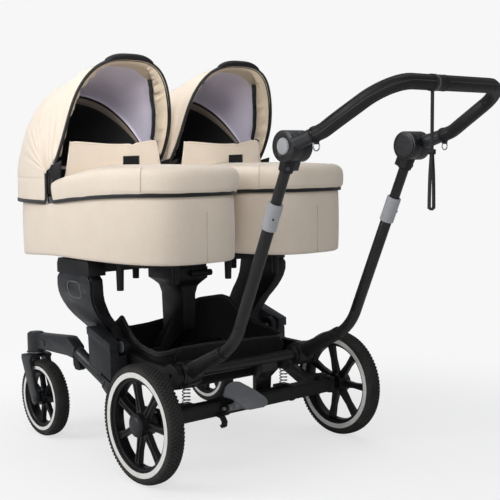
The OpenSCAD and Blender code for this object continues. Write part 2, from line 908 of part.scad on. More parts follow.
module wrist_strap() {
    low = 700;
    knot = 832;
    drop = [for (z = [968, 955, 930, 900, 870, 845, 834]) [strap_x, bar_y, z]];
    loop = [
        [strap_x - 1.2, bar_y, knot + 6], [strap_x - 2.5, bar_y, knot - 14],
        [strap_x - 5.5, bar_y, 790], [strap_x - 7, bar_y, 750], [strap_x - 7.5, bar_y, 718],
        [strap_x - 6, bar_y, low + 6], [strap_x, bar_y, low], [strap_x + 6, bar_y, low + 6],
        [strap_x + 7.5, bar_y, 718], [strap_x + 7, bar_y, 750], [strap_x + 5.5, bar_y, 790],
        [strap_x + 2.5, bar_y, knot - 14], [strap_x + 1.2, bar_y, knot + 6]
    ];
    color("#1b1b1c")
        place() {
            difference() {
                rod(strap_x - 9, strap_x + 9, bar_y, bar_z, grip_r + 2);
                rod(strap_x - 10, strap_x + 10, bar_y, bar_z, grip_r + 0.1);
            }
            sweep(drop, 1, strap_w, [0, 1, 0], 8);
            sweep(loop, 0.8, strap_w, [0, 1, 0], 8);
            translate([strap_x - 5, bar_y - 7, knot - 6])
                cube([10, 14, 14]);
        }
}

// Carrycots

function spow(v, e) = (v < 0 ? -1 : 1) * pow(abs(v), e);
function rim_z(y) = 700 + 30 * sin(90 * min(1, max(0, (hood_y - y) / 470)));
// Plan outline of a carrycot at an offset outwards
function plan(off) = [for (i = [0:cot_points - 1])
    let (a = i * 360 / cot_points, n = sin(a) < 0 ? cot_n_rear : cot_n_front)
        [(cot_hw + off) * spow(cos(a), 2 / n), cot_y + (cot_hl + off) * spow(sin(a), 2 / n)]];
function plan_ring(off, z) = [for (p = plan(off)) [p[0], p[1], z]];
// Ring whose height is mixed between a level and the rim line
function rim_ring(off, dz) = [for (p = plan(off)) [p[0], p[1], rim_z(p[1]) + dz]];

module at_cot(side) {
    on_side(side)
        translate([cot_x, 0, 0])
            children();
}

module cot_tub(side) {
    color("#d9c9b3")
        at_cot(side)
            skin([
                plan_ring(-16, cot_bottom), plan_ring(-6, cot_bottom + 4),
                plan_ring(-1.5, cot_bottom + 12), plan_ring(0, cot_bottom + 28),
                plan_ring(1.2, cot_bottom + 90), rim_ring(0, 0), rim_ring(-cot_wall, 0),
                plan_ring(-cot_wall, cot_bottom + 90), plan_ring(-cot_wall - 1, cot_bottom + 24),
                plan_ring(-cot_wall - 10, cot_bottom + 16)
            ]);
}

module mattress(side) {
    color("#cfcbd6")
        at_cot(side) {
            translate([0, 0, cot_bottom + 16.5])
                linear_extrude(34)
                    polygon(plan(-22));
            translate([0, 0, cot_bottom + 22])
                linear_extrude(23)
                    polygon(plan(-16));
        }
}

module apron(side) {
    color("#d9c9b3")
        at_cot(side)
            difference() {
                union() {
                    skin([
                        rim_ring(0.5, -6), rim_ring(0.5, seat_gap), rim_ring(8, 12),
                        plan_ring(12, 758), plan_ring(12.5, 778), plan_ring(8, 793), plan_ring(-2, 801),
                        plan_ring(-40, 806), plan_ring(-90, 809)
                    ]);
                    // Wind flap that stands up at the opening
                    translate([0, 350, 0])
                        rotate([90, 0, 0])
                            linear_extrude(6)
                                polygon([
                                    [-166, 780], [-160, 812], [-144, 872], [-60, 870], [0, 866],
                                    [60, 871], [144, 877], [160, 812], [166, 780]
                                ]);
                }
                // The lower edge lies along the tub's rim
                translate([-300, 0, 0])
                    rotate([90, 0, 90])
                        linear_extrude(600)
                            polygon(concat([[-200, 600]], [for (y = [-200:8:600]) [y, rim_z(y) + seat_gap]],
                                [[600, 600]]));
                skin([
                    rim_ring(-cot_wall, -8), rim_ring(-cot_wall, seat_gap),
                    rim_ring(-cot_wall + 4, 12), plan_ring(0, 758), plan_ring(1, 778), plan_ring(-6, 788), plan_ring(-16, 793),
                    plan_ring(-50, 797), plan_ring(-90, 799)
                ]);
                // The apron ends short of the hood
                translate([-300, 400, 600])
                    cube([600, 500, 400]);
                translate([-300, 350.2, 781])
                    cube([600, 60, 200]);
                // Room for the hood hinges
                translate([-300, 378, 770])
                    cube([600, 60, 100]);
            }
}

// Hood as a fan of arcs about the hinge line, from the bow at the mouth to the skirt at the front
hood_fan = [
    [112.7, 342], [106, 320], [99, 303], [90, 284], [80, 273], [70, 273], [60, 282], [49, 293],
    [38, 303], [27, 311], [16, 322], [7, 336], [0, hood_front_r]
];
hood_arc = 22;
hood_t = 5;
hood_n = 2.4;
function hood_row(fan, w, dr, up) = [for (i = [0:hood_arc])
    let (a = 0.6 + i * 178.8 / hood_arc, d = (fan[1] - dr) * pow(sin(a), 2 / hood_n),
         x = w * spow(cos(a), 2 / hood_n))
        [x, hood_y + d * cos(fan[0]), hood_z + d * sin(fan[0]) + up]];
function skirt_row(w, dr, z) = [for (i = [0:hood_arc])
    let (a = 0.6 + i * 178.8 / hood_arc, d = (hood_front_r - 12 - dr) * pow(sin(a), 2 / hood_n),
         x = w * spow(cos(a), 2 / hood_n))
        [x, hood_y + d, z]];

// Closes an outer and an inner grid into one thin shell
module shell(outer, inner) {
    rows = len(outer);
    n = len(outer[0]);
    count = rows * n;
    pts = concat([for (r = outer, p = r) p], [for (r = inner, p = r) p]);
    out_faces = [for (k = [0:rows - 2], i = [0:n - 2])
        each [[k * n + i, k * n + i + 1, (k + 1) * n + i + 1],
              [k * n + i, (k + 1) * n + i + 1, (k + 1) * n + i]]];
    in_faces = [for (f = out_faces) [f[2] + count, f[1] + count, f[0] + count]];
    function edge(a, b) = [[b, a, a + count], [b, a + count, b + count]];
    first = [for (i = [0:n - 2]) each edge(i, i + 1)];
    last = [for (i = [0:n - 2]) each edge((rows - 1) * n + i + 1, (rows - 1) * n + i)];
    left = [for (k = [0:rows - 2]) each edge((k + 1) * n, k * n)];
    right = [for (k = [0:rows - 2]) each edge(k * n + n - 1, (k + 1) * n + n - 1)];
    polyhedron(points = pts, faces = concat(out_faces, in_faces, first, last, left, right), convexity = 8);
}

module hood(side) {
    color("#d9c9b3")
        at_cot(side)
            shell(
                concat([for (f = hood_fan) hood_row(f, hood_w, 0, 0)],
                       [skirt_row(hood_w, -12, 760), skirt_row(hood_w - 1, -9, 722), skirt_row(hood_w - 2, -2, 700.8)]),
                concat([for (f = hood_fan) hood_row(f, hood_w - hood_t, hood_t, 0)],
                       [skirt_row(hood_w - hood_t, -12 + hood_t, 760), skirt_row(hood_w - 1 - hood_t, -9 + hood_t, 722),
                        skirt_row(hood_w - 2 - hood_t, -2 + hood_t, 700.8)])
            );
}

// Point of the bow's plane, at a distance from the hinge line and an offset behind the mouth
bow_a = hood_fan[0][0];
function bow_point(x, d, back) =
    [x, hood_y + d * cos(bow_a) - back * sin(bow_a), hood_z + d * sin(bow_a) + back * cos(bow_a)];
function bow_reach(x) = 341 * pow(1 - pow(abs(x) / (hood_w - 2), hood_n), 1 / hood_n);

module hood_bow(side) {
    path = [for (i = [0:24])
        let (a = 0.6 + i * 178.8 / 24)
            bow_point((hood_w - 2) * spow(cos(a), 2 / hood_n), 341 * pow(sin(a), 2 / hood_n), 4.9)];
    grip = [for (i = [0:8])
        let (x = 78 - i * 19.5)
            bow_point(x, bow_reach(x) + 10, 3)];
    color("#1c1c1e")
        at_cot(side) {
            sweep(path, 4.5, 4.5, [0, -sin(bow_a), cos(bow_a)], 8);
            sweep(grip, 6.3, 12, [0, -sin(bow_a), cos(bow_a)], 10);
            for (s = [-1, 1])
                rod(s * (hood_w - 10) - 4.5, s * (hood_w - 10) + 4.5, hood_y, hood_z, 13);
        }
}

module cot_base(side) {
    color("#1e1e20")
        at_cot(side)
            difference() {
                union() {
                    // Tray under the fabric
                    translate([-128, 20, cot_bottom - 9])
                        cube([256, 600, 8.6]);
                    // Cross beam between the two uprights
                    translate([-180, 262, frame_top + 6])
                        cube([325, 118, cot_bottom - frame_top - 14]);
                    // Outer block over the side frame
                    slab(107, 161, [
                        [238, frame_top], [404, frame_top], [405, frame_top + 26],
                        [398, cot_bottom - 6], [244, cot_bottom - 6], [238, frame_top + 26]
                    ]);
                    translate([126, 280, frame_top - 26])
                        cube([14, 84, 30]);
                    // Inner block over the centre upright
                    slab(-194, -138, [
                        [254, 505], [386, 505], [390, frame_top + 26], [384, cot_bottom - 6],
                        [260, cot_bottom - 6], [254, frame_top + 26]
                    ]);
                    translate([-171, 280, 479])
                        cube([14, 84, 30]);
                    for (x = [-100, 86], y = [200, 400])
                        translate([x, y, 470])
                            cylinder(r1 = 9.5, r2 = 11.5, h = cot_bottom - 470 - 4);
                }
                for (x = [-100, 86], y = [200, 400])
                    translate([x, y, 469])
                        cylinder(r = 6, h = 6);
            }
}

rear_tyre(-1);  // rear_tyre_left
rear_tyre(1);  // rear_tyre_right
rear_rim(-1);  // rear_rim_left
rear_rim(1);  // rear_rim_right
hub_cap(-1);  // hub_cap_left
hub_cap(1);  // hub_cap_right
front_tyre(-1);  // front_tyre_left
front_tyre(1);  // front_tyre_right
front_rim(-1);  // front_rim_left
front_rim(1);  // front_rim_right
fork(-1);  // fork_left
fork(1);  // fork_right
rear_axle();
rear_springs();
brake_pedal();
brake_bolt(-1);  // brake_bolt_left
brake_bolt(1);  // brake_bolt_right
cross_tube();
side_frame(-1);  // side_frame_left
side_frame(1);  // side_frame_right
side_cover(-1);  // side_cover_left
side_cover(1);  // side_cover_right
hinge_block(-1);  // hinge_block_left
hinge_block(1);  // hinge_block_right
lower_rail(-1);  // lower_rail_left
lower_rail(1);  // lower_rail_right
front_arm(-1);  // front_arm_left
front_arm(1);  // front_arm_right
centre_upright();
basket();
fold_button(-1);  // fold_button_left
fold_button(1);  // fold_button_right
handle_lower(-1);  // handle_lower_left
handle_lower(1);  // handle_lower_right
sleeve(-1);  // sleeve_left
sleeve(1);  // sleeve_right
handle_upper(-1);  // handle_upper_left
handle_upper(1);  // handle_upper_right
extend_button(-1);  // extend_button_left
extend_button(1);  // extend_button_right
handlebar();
grip_cover();
tilt_button(-1);  // tilt_button_left
tilt_button(1);  // tilt_button_right
d_ring(-1);  // d_ring_left
d_ring(1);  // d_ring_right
wrist_strap();
cot_base(-1);  // cot_base_left
cot_base(1);  // cot_base_right
cot_tub(-1);  // cot_tub_left
cot_tub(1);  // cot_tub_right
mattress(-1);  // mattress_left
mattress(1);  // mattress_right
apron(-1);  // apron_left
apron(1);  // apron_right
hood(-1);  // hood_left
hood(1);  // hood_right
hood_bow(-1);  // hood_bow_left
hood_bow(1);  // hood_bow_right
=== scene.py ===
import bpy, bmesh, json, math
from mathutils import Vector, Matrix, noise

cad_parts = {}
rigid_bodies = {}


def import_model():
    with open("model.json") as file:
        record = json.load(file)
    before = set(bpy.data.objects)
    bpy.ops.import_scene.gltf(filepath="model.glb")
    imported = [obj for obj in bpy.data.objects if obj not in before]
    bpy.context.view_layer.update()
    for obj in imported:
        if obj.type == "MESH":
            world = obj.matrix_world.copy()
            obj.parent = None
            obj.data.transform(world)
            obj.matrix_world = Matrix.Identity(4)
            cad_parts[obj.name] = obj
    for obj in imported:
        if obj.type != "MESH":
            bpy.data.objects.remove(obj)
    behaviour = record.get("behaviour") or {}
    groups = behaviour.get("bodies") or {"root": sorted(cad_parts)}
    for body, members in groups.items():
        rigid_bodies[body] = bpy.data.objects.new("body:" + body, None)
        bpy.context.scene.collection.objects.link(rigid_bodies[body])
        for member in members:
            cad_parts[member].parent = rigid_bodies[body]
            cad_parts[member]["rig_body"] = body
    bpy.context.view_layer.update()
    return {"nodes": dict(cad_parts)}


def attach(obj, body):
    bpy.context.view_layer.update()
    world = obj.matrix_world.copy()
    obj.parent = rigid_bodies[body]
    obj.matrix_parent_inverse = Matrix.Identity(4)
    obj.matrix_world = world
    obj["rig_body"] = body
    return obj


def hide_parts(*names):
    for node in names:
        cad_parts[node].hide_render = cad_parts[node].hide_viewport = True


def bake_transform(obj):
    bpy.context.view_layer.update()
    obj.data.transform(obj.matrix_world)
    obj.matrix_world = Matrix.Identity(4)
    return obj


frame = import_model()
nodes = frame["nodes"]
scene = bpy.context.scene
scene.view_settings.view_transform = "Standard"
rearAxleY = -21.25  # drawings are in mm from the rear axle, this is the axle's place in the frame
sides = {"left": -1, "right": 1}


def mm(x, y, z):
    return Vector((x, y + rearAxleY, z)) * 0.001


def addObject(name, data):
    obj = bpy.data.objects.new(name, data)
    scene.collection.objects.link(obj)
    return obj


# The photo's camera: its place in mm from the rear axle, its angles in degrees
cameraSettings = {"place": (-1784.8, -2105.9, 843.6), "azimuth": -40.436, "elevation": 5.567, "roll": -0.460,
                  "focalPixels": 1019.41, "photoPixels": 500, "sensor": 36}


def makeCamera(c):
    az, el, ro = (math.radians(c[k]) for k in ("azimuth", "elevation", "roll"))
    back = Vector((math.sin(az) * math.cos(el), -math.cos(az) * math.cos(el), math.sin(el)))
    right = (-back).cross(Vector((0, 0, 1))).normalized()
    up = right.cross(-back)
    rolledRight = right * math.cos(ro) + up * math.sin(ro)
    rolledUp = -right * math.sin(ro) + up * math.cos(ro)
    data = bpy.data.cameras.new("photoCamera")
    data.sensor_width = c["sensor"]
    data.lens = c["focalPixels"] / c["photoPixels"] * c["sensor"]
    data.clip_end = 60
    cam = addObject("photoCamera", data)
    turn = Matrix((rolledRight, rolledUp, back)).transposed().to_4x4()
    cam.matrix_world = Matrix.Translation(mm(*c["place"])) @ turn
    scene.camera = cam


makeCamera(cameraSettings)
print("camera set")


def srgb(hexText):
    vals = [int(hexText[i:i + 2], 16) / 255 for i in (0, 2, 4)]
    return tuple(v / 12.92 if v <= 0.04045 else ((v + 0.055) / 1.055) ** 2.4 for v in vals) + (1,)


def addNode(tree, kind, inputs=None, **settings):
    node = tree.nodes.new(kind)
    for key, value in settings.items():
        setattr(node, key, value)
    for key, value in (inputs or {}).items():
        if isinstance(value, bpy.types.NodeSocket):
            tree.links.new(value, node.inputs[key])
        else:
            node.inputs[key].default_value = value
    return node


def mathNode(tree, operation, a, b=0.0, c=0.0):
    return addNode(tree, "ShaderNodeMath", {0: a, 1: b, 2: c}, operation=operation).outputs[0]


def mapRange(tree, value, lo, hi, newLo=0.0, newHi=1.0, **settings):
    return addNode(tree, "ShaderNodeMapRange", {0: value, 1: lo, 2: hi, 3: newLo, 4: newHi}, **settings).outputs[0]


def objectPlace(tree):
    return addNode(tree, "ShaderNodeTexCoord").outputs["Object"]


def noiseOn(tree, scale, detail, **more):
    inputs = {"Vector": objectPlace(tree), "Scale": scale, "Detail": detail, **more}
    return addNode(tree, "ShaderNodeTexNoise", inputs).outputs[0]


def startMaterial(name, roughness, **sockets):
    mat = bpy.data.materials.new(name)
    mat.use_nodes = True
    shader = mat.node_tree.nodes["Principled BSDF"]
    shader.inputs["Roughness"].default_value = roughness
    for key, value in sockets.items():
        shader.inputs[key.replace("_", " ")].default_value = value
    mat.diffuse_color = (0.5, 0.5, 0.5, 1)
    return mat, mat.node_tree, shader


def paintInto(tree, shader, factor, first, second):
    mix = addNode(tree, "ShaderNodeMix", {0: factor, 6: srgb(first), 7: srgb(second)}, data_type="RGBA")
    tree.links.new(mix.outputs[2], shader.inputs["Base Color"])


def roughInto(tree, shader, value, low, high):
    tree.links.new(mapRange(tree, value, 0.3, 0.7, low, high), shader.inputs["Roughness"])


def bumpInto(tree, shader, height, strength, distance):
    bump = addNode(tree, "ShaderNodeBump", {"Height": height, "Strength": strength, "Distance": distance})
    tree.links.new(bump.outputs[0], shader.inputs["Normal"])


# Woven cloth: crossed threads on the piece's own map, which is in metres
def wovenCloth(name, colour, shade, thread=0.0011, sheen=0.25, rough=0.86, depth=0.00018, strength=0.35):
    mat, tree, shader = startMaterial(name, rough, Sheen_Weight=sheen, Sheen_Roughness=0.45, Specular_IOR_Level=0.22)
    uv = addNode(tree, "ShaderNodeUVMap", uv_map="cloth")
    axes = addNode(tree, "ShaderNodeSeparateXYZ", {0: uv.outputs[0]}).outputs
    turns = 2 * math.pi / thread
    warp, weft = [mathNode(tree, "SINE", mathNode(tree, "MULTIPLY", axes[k], turns)) for k in (0, 1)]
    weave = mathNode(tree, "MULTIPLY_ADD", mathNode(tree, "MULTIPLY", warp, weft), 0.5, 0.5)
    fine, slub, broad = noiseOn(tree, 900, 3), noiseOn(tree, 160, 2), noiseOn(tree, 14, 3, Roughness=0.55)
    tone = mathNode(tree, "MULTIPLY", fine, 0.25)
    for value, share in ((broad, 0.35), (slub, 0.25), (weave, 0.12)):
        tone = mathNode(tree, "MULTIPLY_ADD", value, share, tone)
    paintInto(tree, shader, mapRange(tree, tone, 0.25, 0.75), shade, colour)
    bumpInto(tree, shader, mathNode(tree, "MULTIPLY_ADD", fine, 0.5, weave), strength, depth)
    return mat


# Moulded plastic with a fine eroded grain and slightly paler patches where it is handled
def mouldedPlastic(name, colour, pale, rough=0.5, strength=0.25, coat=0.0):
    mat, tree, shader = startMaterial(name, rough, Specular_IOR_Level=0.3, Coat_Weight=coat, Coat_Roughness=0.25)
    patch, scuff = noiseOn(tree, 22, 4, Roughness=0.6), noiseOn(tree, 190, 2, Distortion=1.5)
    wear = mapRange(tree, mathNode(tree, "MULTIPLY", patch, scuff), 0.2, 0.42)
    paintInto(tree, shader, wear, colour, pale)
    roughInto(tree, shader, patch, rough - 0.08, rough + 0.1)
    bumpInto(tree, shader, noiseOn(tree, 2200, 2), strength, 0.00012)
    return mat


# Powder-coated or anodised tube: satin, with a slight orange-peel
def coatedMetal(name, colour, pale, rough=0.42, metallic=0.0):
    mat, tree, shader = startMaterial(name, rough, Metallic=metallic, Specular_IOR_Level=0.4,
                                      Coat_Weight=0.05, Coat_Roughness=0.3)
    patch = noiseOn(tree, 35, 5, Roughness=0.65)
    paintInto(tree, shader, mapRange(tree, patch, 0.42, 0.72), colour, pale)
    roughInto(tree, shader, patch, rough - 0.06, rough + 0.08)
    bumpInto(tree, shader, noiseOn(tree, 700, 2), 0.12, 0.0001)
    return mat


def tyreRubber(name, colour, dust, rough=0.78):
    mat, tree, shader = startMaterial(name, rough, Specular_IOR_Level=0.3)
    patch = noiseOn(tree, 28, 4, Roughness=0.6)
    paintInto(tree, shader, mapRange(tree, patch, 0.4, 0.75), colour, dust)
    bumpInto(tree, shader, noiseOn(tree, 1300, 2), 0.3, 0.00015)
    return mat


# Grained leather with shallow creases
def gripLeather(name, colour, pale):
    mat, tree, shader = startMaterial(name, 0.42, Specular_IOR_Level=0.34)
    cells = addNode(tree, "ShaderNodeTexVoronoi", {"Vector": objectPlace(tree), "Scale": 620},
                    feature="DISTANCE_TO_EDGE")
    groove = mapRange(tree, cells.outputs[0], 0.0, 0.12)
    broad = noiseOn(tree, 30, 4)
    tone = mathNode(tree, "MULTIPLY", groove, broad)
    paintInto(tree, shader, mapRange(tree, tone, 0.25, 0.75), colour, pale)
    roughInto(tree, shader, broad, 0.42, 0.58)
    bumpInto(tree, shader, groove, 0.3, 0.0002)
    return mat


# Flat webbing: diagonal ribs across the strap's own map
def webbing(name, colour, pale):
    ribPitch = 0.0018
    mat, tree, shader = startMaterial(name, 0.7, Sheen_Weight=0.2, Specular_IOR_Level=0.3)
    uv = addNode(tree, "ShaderNodeUVMap", uv_map="cloth")
    inputs = {"Vector": uv.outputs[0], "Scale": 1 / ribPitch / 6.28, "Distortion": 0.6}
    wave = addNode(tree, "ShaderNodeTexWave", inputs, bands_direction="DIAGONAL")
    paintInto(tree, shader, wave.outputs[1], colour, pale)
    bumpInto(tree, shader, wave.outputs[1], 0.4, 0.0003)
    return mat


# Open mesh cloth, seen as dark holes between paler threads
def meshCloth(name, colour, thread):
    holePitch = 0.0024
    mat, tree, shader = startMaterial(name, 0.75, Sheen_Weight=0.15, Specular_IOR_Level=0.2)
    uv = addNode(tree, "ShaderNodeUVMap", uv_map="cloth")
    inputs = {"Vector": uv.outputs[0], "Scale": 1 / holePitch, "Randomness": 0.15}
    hole = mapRange(tree, addNode(tree, "ShaderNodeTexVoronoi", inputs, feature="F1").outputs[0], 0.28, 0.42)
    paintInto(tree, shader, hole, colour, thread)
    bumpInto(tree, shader, hole, 0.6, 0.0004)
    return mat


mats = {
    "cloth": wovenCloth("beigeCloth", "e6dacb", "dacbb9"),
    "clothDark": wovenCloth("beigeSeam", "d0bfa8", "c0ae94"),
    "lining": wovenCloth("lilacLining", "ece6f6", "ddd6ea", thread=0.0008, rough=0.6, sheen=0.5),
    "facing": wovenCloth("beigeFacing", "e2d4bf", "cfbfa8"),
    "binding": webbing("blackBinding", "0e0e0e", "1a1a1b"),
    "basketCloth": wovenCloth("blackCanvas", "151517", "0b0b0c", thread=0.0016, rough=0.7, sheen=0.08, strength=0.6,
                              depth=0.0003),
    "basketHem": webbing("basketHem", "121213", "1f1f21"),
    "meshPanel": meshCloth("blackMesh", "050506", "141416"),
    "hoopBand": wovenCloth("taupeTape", "a79a8a", "8d8072", thread=0.0014),
    "thread": mouldedPlastic("sewingThread", "b5a48a", "c9b89d", rough=0.6),
    "darkThread": mouldedPlastic("darkThread", "4a4a4e", "66666a", rough=0.6),
    "blackPlastic": mouldedPlastic("blackPlastic", "101012", "1a1a1c", rough=0.46),
    "gloss": mouldedPlastic("satinBlack", "0e0e0f", "181819", rough=0.34, strength=0.12, coat=0.1),
    "greyPlastic": mouldedPlastic("slatePlastic", "242528", "313236", rough=0.36),
    "blockPlastic": mouldedPlastic("blockPlastic", "232427", "333438", rough=0.4),
    "lightPlastic": mouldedPlastic("paleGreyPlastic", "a3a4a7", "b0b1b4", rough=0.42),
    "buttonPlastic": mouldedPlastic("buttonPlastic", "6f7073", "7d7e82", rough=0.5),
    "pedalPlastic": mouldedPlastic("pedalPlastic", "6b6c6f", "7c7d80", rough=0.55),
    "rimPlastic": mouldedPlastic("rimPlastic", "0e0e10", "19191b", rough=0.38),
    "capPlastic": mouldedPlastic("capPlastic", "232326", "2f2f33", rough=0.38),
    "tube": coatedMetal("blackTube", "121213", "1c1c1e", rough=0.36),
    "railMetal": coatedMetal("graphiteTube", "212224", "303134", rough=0.34),
    "armMetal": coatedMetal("armCasting", "242528", "333438", rough=0.36),
    "steel": coatedMetal("zincSteel", "a9acb0", "c6c9cd", rough=0.3, metallic=1.0),
    "chrome": coatedMetal("springSteel", "85878b", "a5a7ab", rough=0.3, metallic=1.0),
    "rubber": tyreRubber("tyreRubber", "2b2a29", "3b3937"),
    "whiteRubber": tyreRubber("whiteBand", "e9e8e4", "dad8d2", rough=0.6),
    "leather": gripLeather("gripLeather", "121111", "201f1f"),
    # Seam colour paler than the grip leather: painted highlight along the seams
    "paintedHighlightSeam": gripLeather("paintedHighlightSeam", "303031", "4b4b4c"),
    "rimLine": mouldedPlastic("recessRim", "6a6b6e", "7a7b7e", rough=0.35),
    "screwSteel": coatedMetal("screwSteel", "4a4b4e", "6d6e72", rough=0.3, metallic=0.8),
    "strapWeb": webbing("strapWeb", "1c1c1e", "2a2a2d"),
    "label": wovenCloth("bareLabel", "17171a", "101013", thread=0.0007),
    "mattressCloth": wovenCloth("mattressCloth", "cfcbd8", "bdb8c9", thread=0.0009),
}
print("materials made:", len(mats))


def clamp(v, lo=0.0, hi=1.0):
    return max(lo, min(hi, v))


def lerp(a, b, t):
    return a + (b - a) * t


def spow(v, e):
    return math.copysign(abs(v) ** e, v)


def newPiece(name, verts, faces, materials, uvs=None, faceMats=None, smooth=True):
    mesh = bpy.data.meshes.new(name)
    mesh.from_pydata([tuple(v) for v in verts], [], faces)
    for m in materials:
        mesh.materials.append(mats[m])
    if faceMats:
        for poly, k in zip(mesh.polygons, faceMats):
            poly.material_index = k
    if uvs:
        layer = mesh.uv_layers.new(name="cloth")
        for loop in mesh.loops:
            layer.data[loop.index].uv = uvs[loop.vertex_index]
    mesh.update()
    if smooth:
        mesh.shade_smooth()
    return addObject(name, mesh)


# Rows of points into quads, closed round each row if asked
def gridFaces(rows, cols, closed=False):
    faces = []
    for r in range(rows - 1):
        for c in range(cols if closed else cols - 1):
            a, b = r * cols + c, r * cols + (c + 1) % cols
            faces.append((a, b, b + cols, a + cols))
    return faces


def gridPiece(name, rows, materials, closed=False, faceMat=None):
    verts, uvs = [], []
    for i, row in enumerate(rows):
        along = 0.0
        for j, p in enumerate(row):
            if j:
                along += (p - row[j - 1]).length
            verts.append(p)
            down = uvs[(i - 1) * len(row) + j][1] + (p - rows[i - 1][j]).length if i else 0.0
            uvs.append((along, down))
    faces = gridFaces(len(rows), len(rows[0]), closed)
    faceMats = None
    if faceMat:
        perRow = len(rows[0]) if closed else len(rows[0]) - 1
        faceMats = [faceMat(k // perRow, k % perRow) for k in range(len(faces))]
    return newPiece(name, verts, faces, materials, uvs, faceMats)


# Applies the piece's modifiers
def freeze(obj):
    bpy.context.view_layer.update()
    deps = bpy.context.evaluated_depsgraph_get()
    mesh = bpy.data.meshes.new_from_object(obj.evaluated_get(deps), preserve_all_data_layers=True, depsgraph=deps)
    obj.modifiers.clear()
    obj.data = mesh
    mesh.name = obj.name
    return obj


def soften(obj):
    mod = obj.modifiers.new("soft", "SUBSURF")
    mod.levels = mod.render_levels = 1
    return freeze(obj)


def addThickness(obj, thickness, offset=-1.0):
    mod = obj.modifiers.new("thickness", "SOLIDIFY")
    mod.thickness = thickness
    mod.offset = offset
    mod.use_even_offset = False
    return freeze(obj)


def fixNormals(obj):
    bm = bmesh.new()
    bm.from_mesh(obj.data)
    bmesh.ops.remove_doubles(bm, verts=bm.verts, dist=1e-6)
    bmesh.ops.recalc_face_normals(bm, faces=bm.faces)
    bm.to_mesh(obj.data)
    bm.free()
    return obj


# Turns the faces over if the measure, summed over them all, is below zero
def turnFaces(obj, measure):
    if sum(measure(p) for p in obj.data.polygons) < 0:
        obj.data.flip_normals()


# Closes the first and the last ring of points of a grid piece
def capRings(obj, ring, lastMaterial=0):
    bm = bmesh.new()
    bm.from_mesh(obj.data)
    bm.verts.ensure_lookup_table()
    total = len(bm.verts)
    bm.faces.new(bm.verts[:ring])
    last = bm.faces.new(bm.verts[total - ring:total])
    last.material_index = lastMaterial
    bmesh.ops.recalc_face_normals(bm, faces=bm.faces)
    bm.to_mesh(obj.data)
    bm.free()


# A closed tube along a path; halfOut is its half size along "outs" and halfUp the one across them
def bandPiece(name, path, outs, halfUp, halfOut, material, sidesCount=10, square=0.6, closed=False):
    verts, uvs = [], []
    along = 0.0
    n = len(path)
    for i, p in enumerate(path):
        a = path[(i - 1) % n] if (i or closed) else path[0]
        b = path[(i + 1) % n] if (i < n - 1 or closed) else path[-1]
        tangent = (b - a).normalized()
        out = outs[i] - tangent * outs[i].dot(tangent)
        out.normalize()
        up = tangent.cross(out)
        if i:
            along += (p - path[i - 1]).length
        for k in range(sidesCount):
            t = 2 * math.pi * k / sidesCount
            verts.append(p + out * (halfOut * spow(math.cos(t), square)) + up * (halfUp * spow(math.sin(t), square)))
            uvs.append((along, k / sidesCount * halfUp * 4))
    faces = [f[::-1] for f in gridFaces(n, sidesCount, True)]
    last = (n - 1) * sidesCount
    if closed:
        for k in range(sidesCount):
            d = (k + 1) % sidesCount
            faces.append((last + k, last + d, d, k)[::-1])
    else:
        faces.append(tuple(range(sidesCount)))
        faces.append(tuple(reversed(range(last, last + sidesCount))))
    return fixNormals(newPiece(name, verts, faces, [material], uvs))


# A closed tube whose section changes from station to station
def loftPiece(name, centres, outs, sizes, material, count=28, square=1.0):
    verts, uvs = [], []
    last = len(centres) - 1
    for i, c in enumerate(centres):
        tangent = (centres[min(last, i + 1)] - centres[max(0, i - 1)]).normalized()
        out = (outs[i] - tangent * outs[i].dot(tangent)).normalized()
        up = tangent.cross(out)
        for k in range(count):
            t = 2 * math.pi * k / count
            across = out * (sizes[i][1] * spow(math.cos(t), square))
            verts.append(c + across + up * (sizes[i][0] * spow(math.sin(t), square)))
            uvs.append((c.y + c.x, k * 0.004))
    faces = gridFaces(last + 1, count, True) + [tuple(range(count)), tuple(range(last * count, (last + 1) * count))]
    piece = fixNormals(newPiece(name, verts, faces, [material], uvs))
    piece.data.set_sharp_from_angle(angle=math.radians(38))
    return piece


# A loft along one line: each station is a place on the line and its half sizes in mm, one or two
def turnedPiece(name, place, out, stations, material, **more):
    sizes = [(q[1] * 0.001, q[-1] * 0.001) for q in stations]
    return loftPiece(name, [place(q[0]) for q in stations], [out] * len(stations), sizes, material, **more)


def joinPieces(name, pieces):
    bpy.ops.object.select_all(action="DESELECT")
    for p in pieces:
        p.select_set(True)
    bpy.context.view_layer.objects.active = pieces[0]
    bpy.ops.object.join()
    pieces[0].name = name
    return pieces[0]


# Node trees: what is asked of a tree comes as its named inputs, sizes in metres
def startTree(name, **inputs):
    tree = bpy.data.node_groups.new(name, "GeometryNodeTree")
    tree.interface.new_socket("Geometry", in_out="INPUT", socket_type="NodeSocketGeometry")
    kinds = {int: "NodeSocketInt", float: "NodeSocketFloat", tuple: "NodeSocketVector"}
    for label, value in inputs.items():
        socket = tree.interface.new_socket(label, in_out="INPUT", socket_type=kinds[type(value)])
        socket.default_value = value
    tree.interface.new_socket("Material", in_out="INPUT", socket_type="NodeSocketMaterial")
    tree.interface.new_socket("Geometry", in_out="OUTPUT", socket_type="NodeSocketGeometry")
    return tree, tree.nodes.new("NodeGroupInput").outputs


def endTree(tree, asked, geometry):
    real = addNode(tree, "GeometryNodeRealizeInstances", {0: geometry})
    paint = addNode(tree, "GeometryNodeSetMaterial", {"Geometry": real.outputs[0], "Material": asked["Material"]})
    tree.links.new(paint.outputs[0], tree.nodes.new("NodeGroupOutput").inputs[0])
    return tree


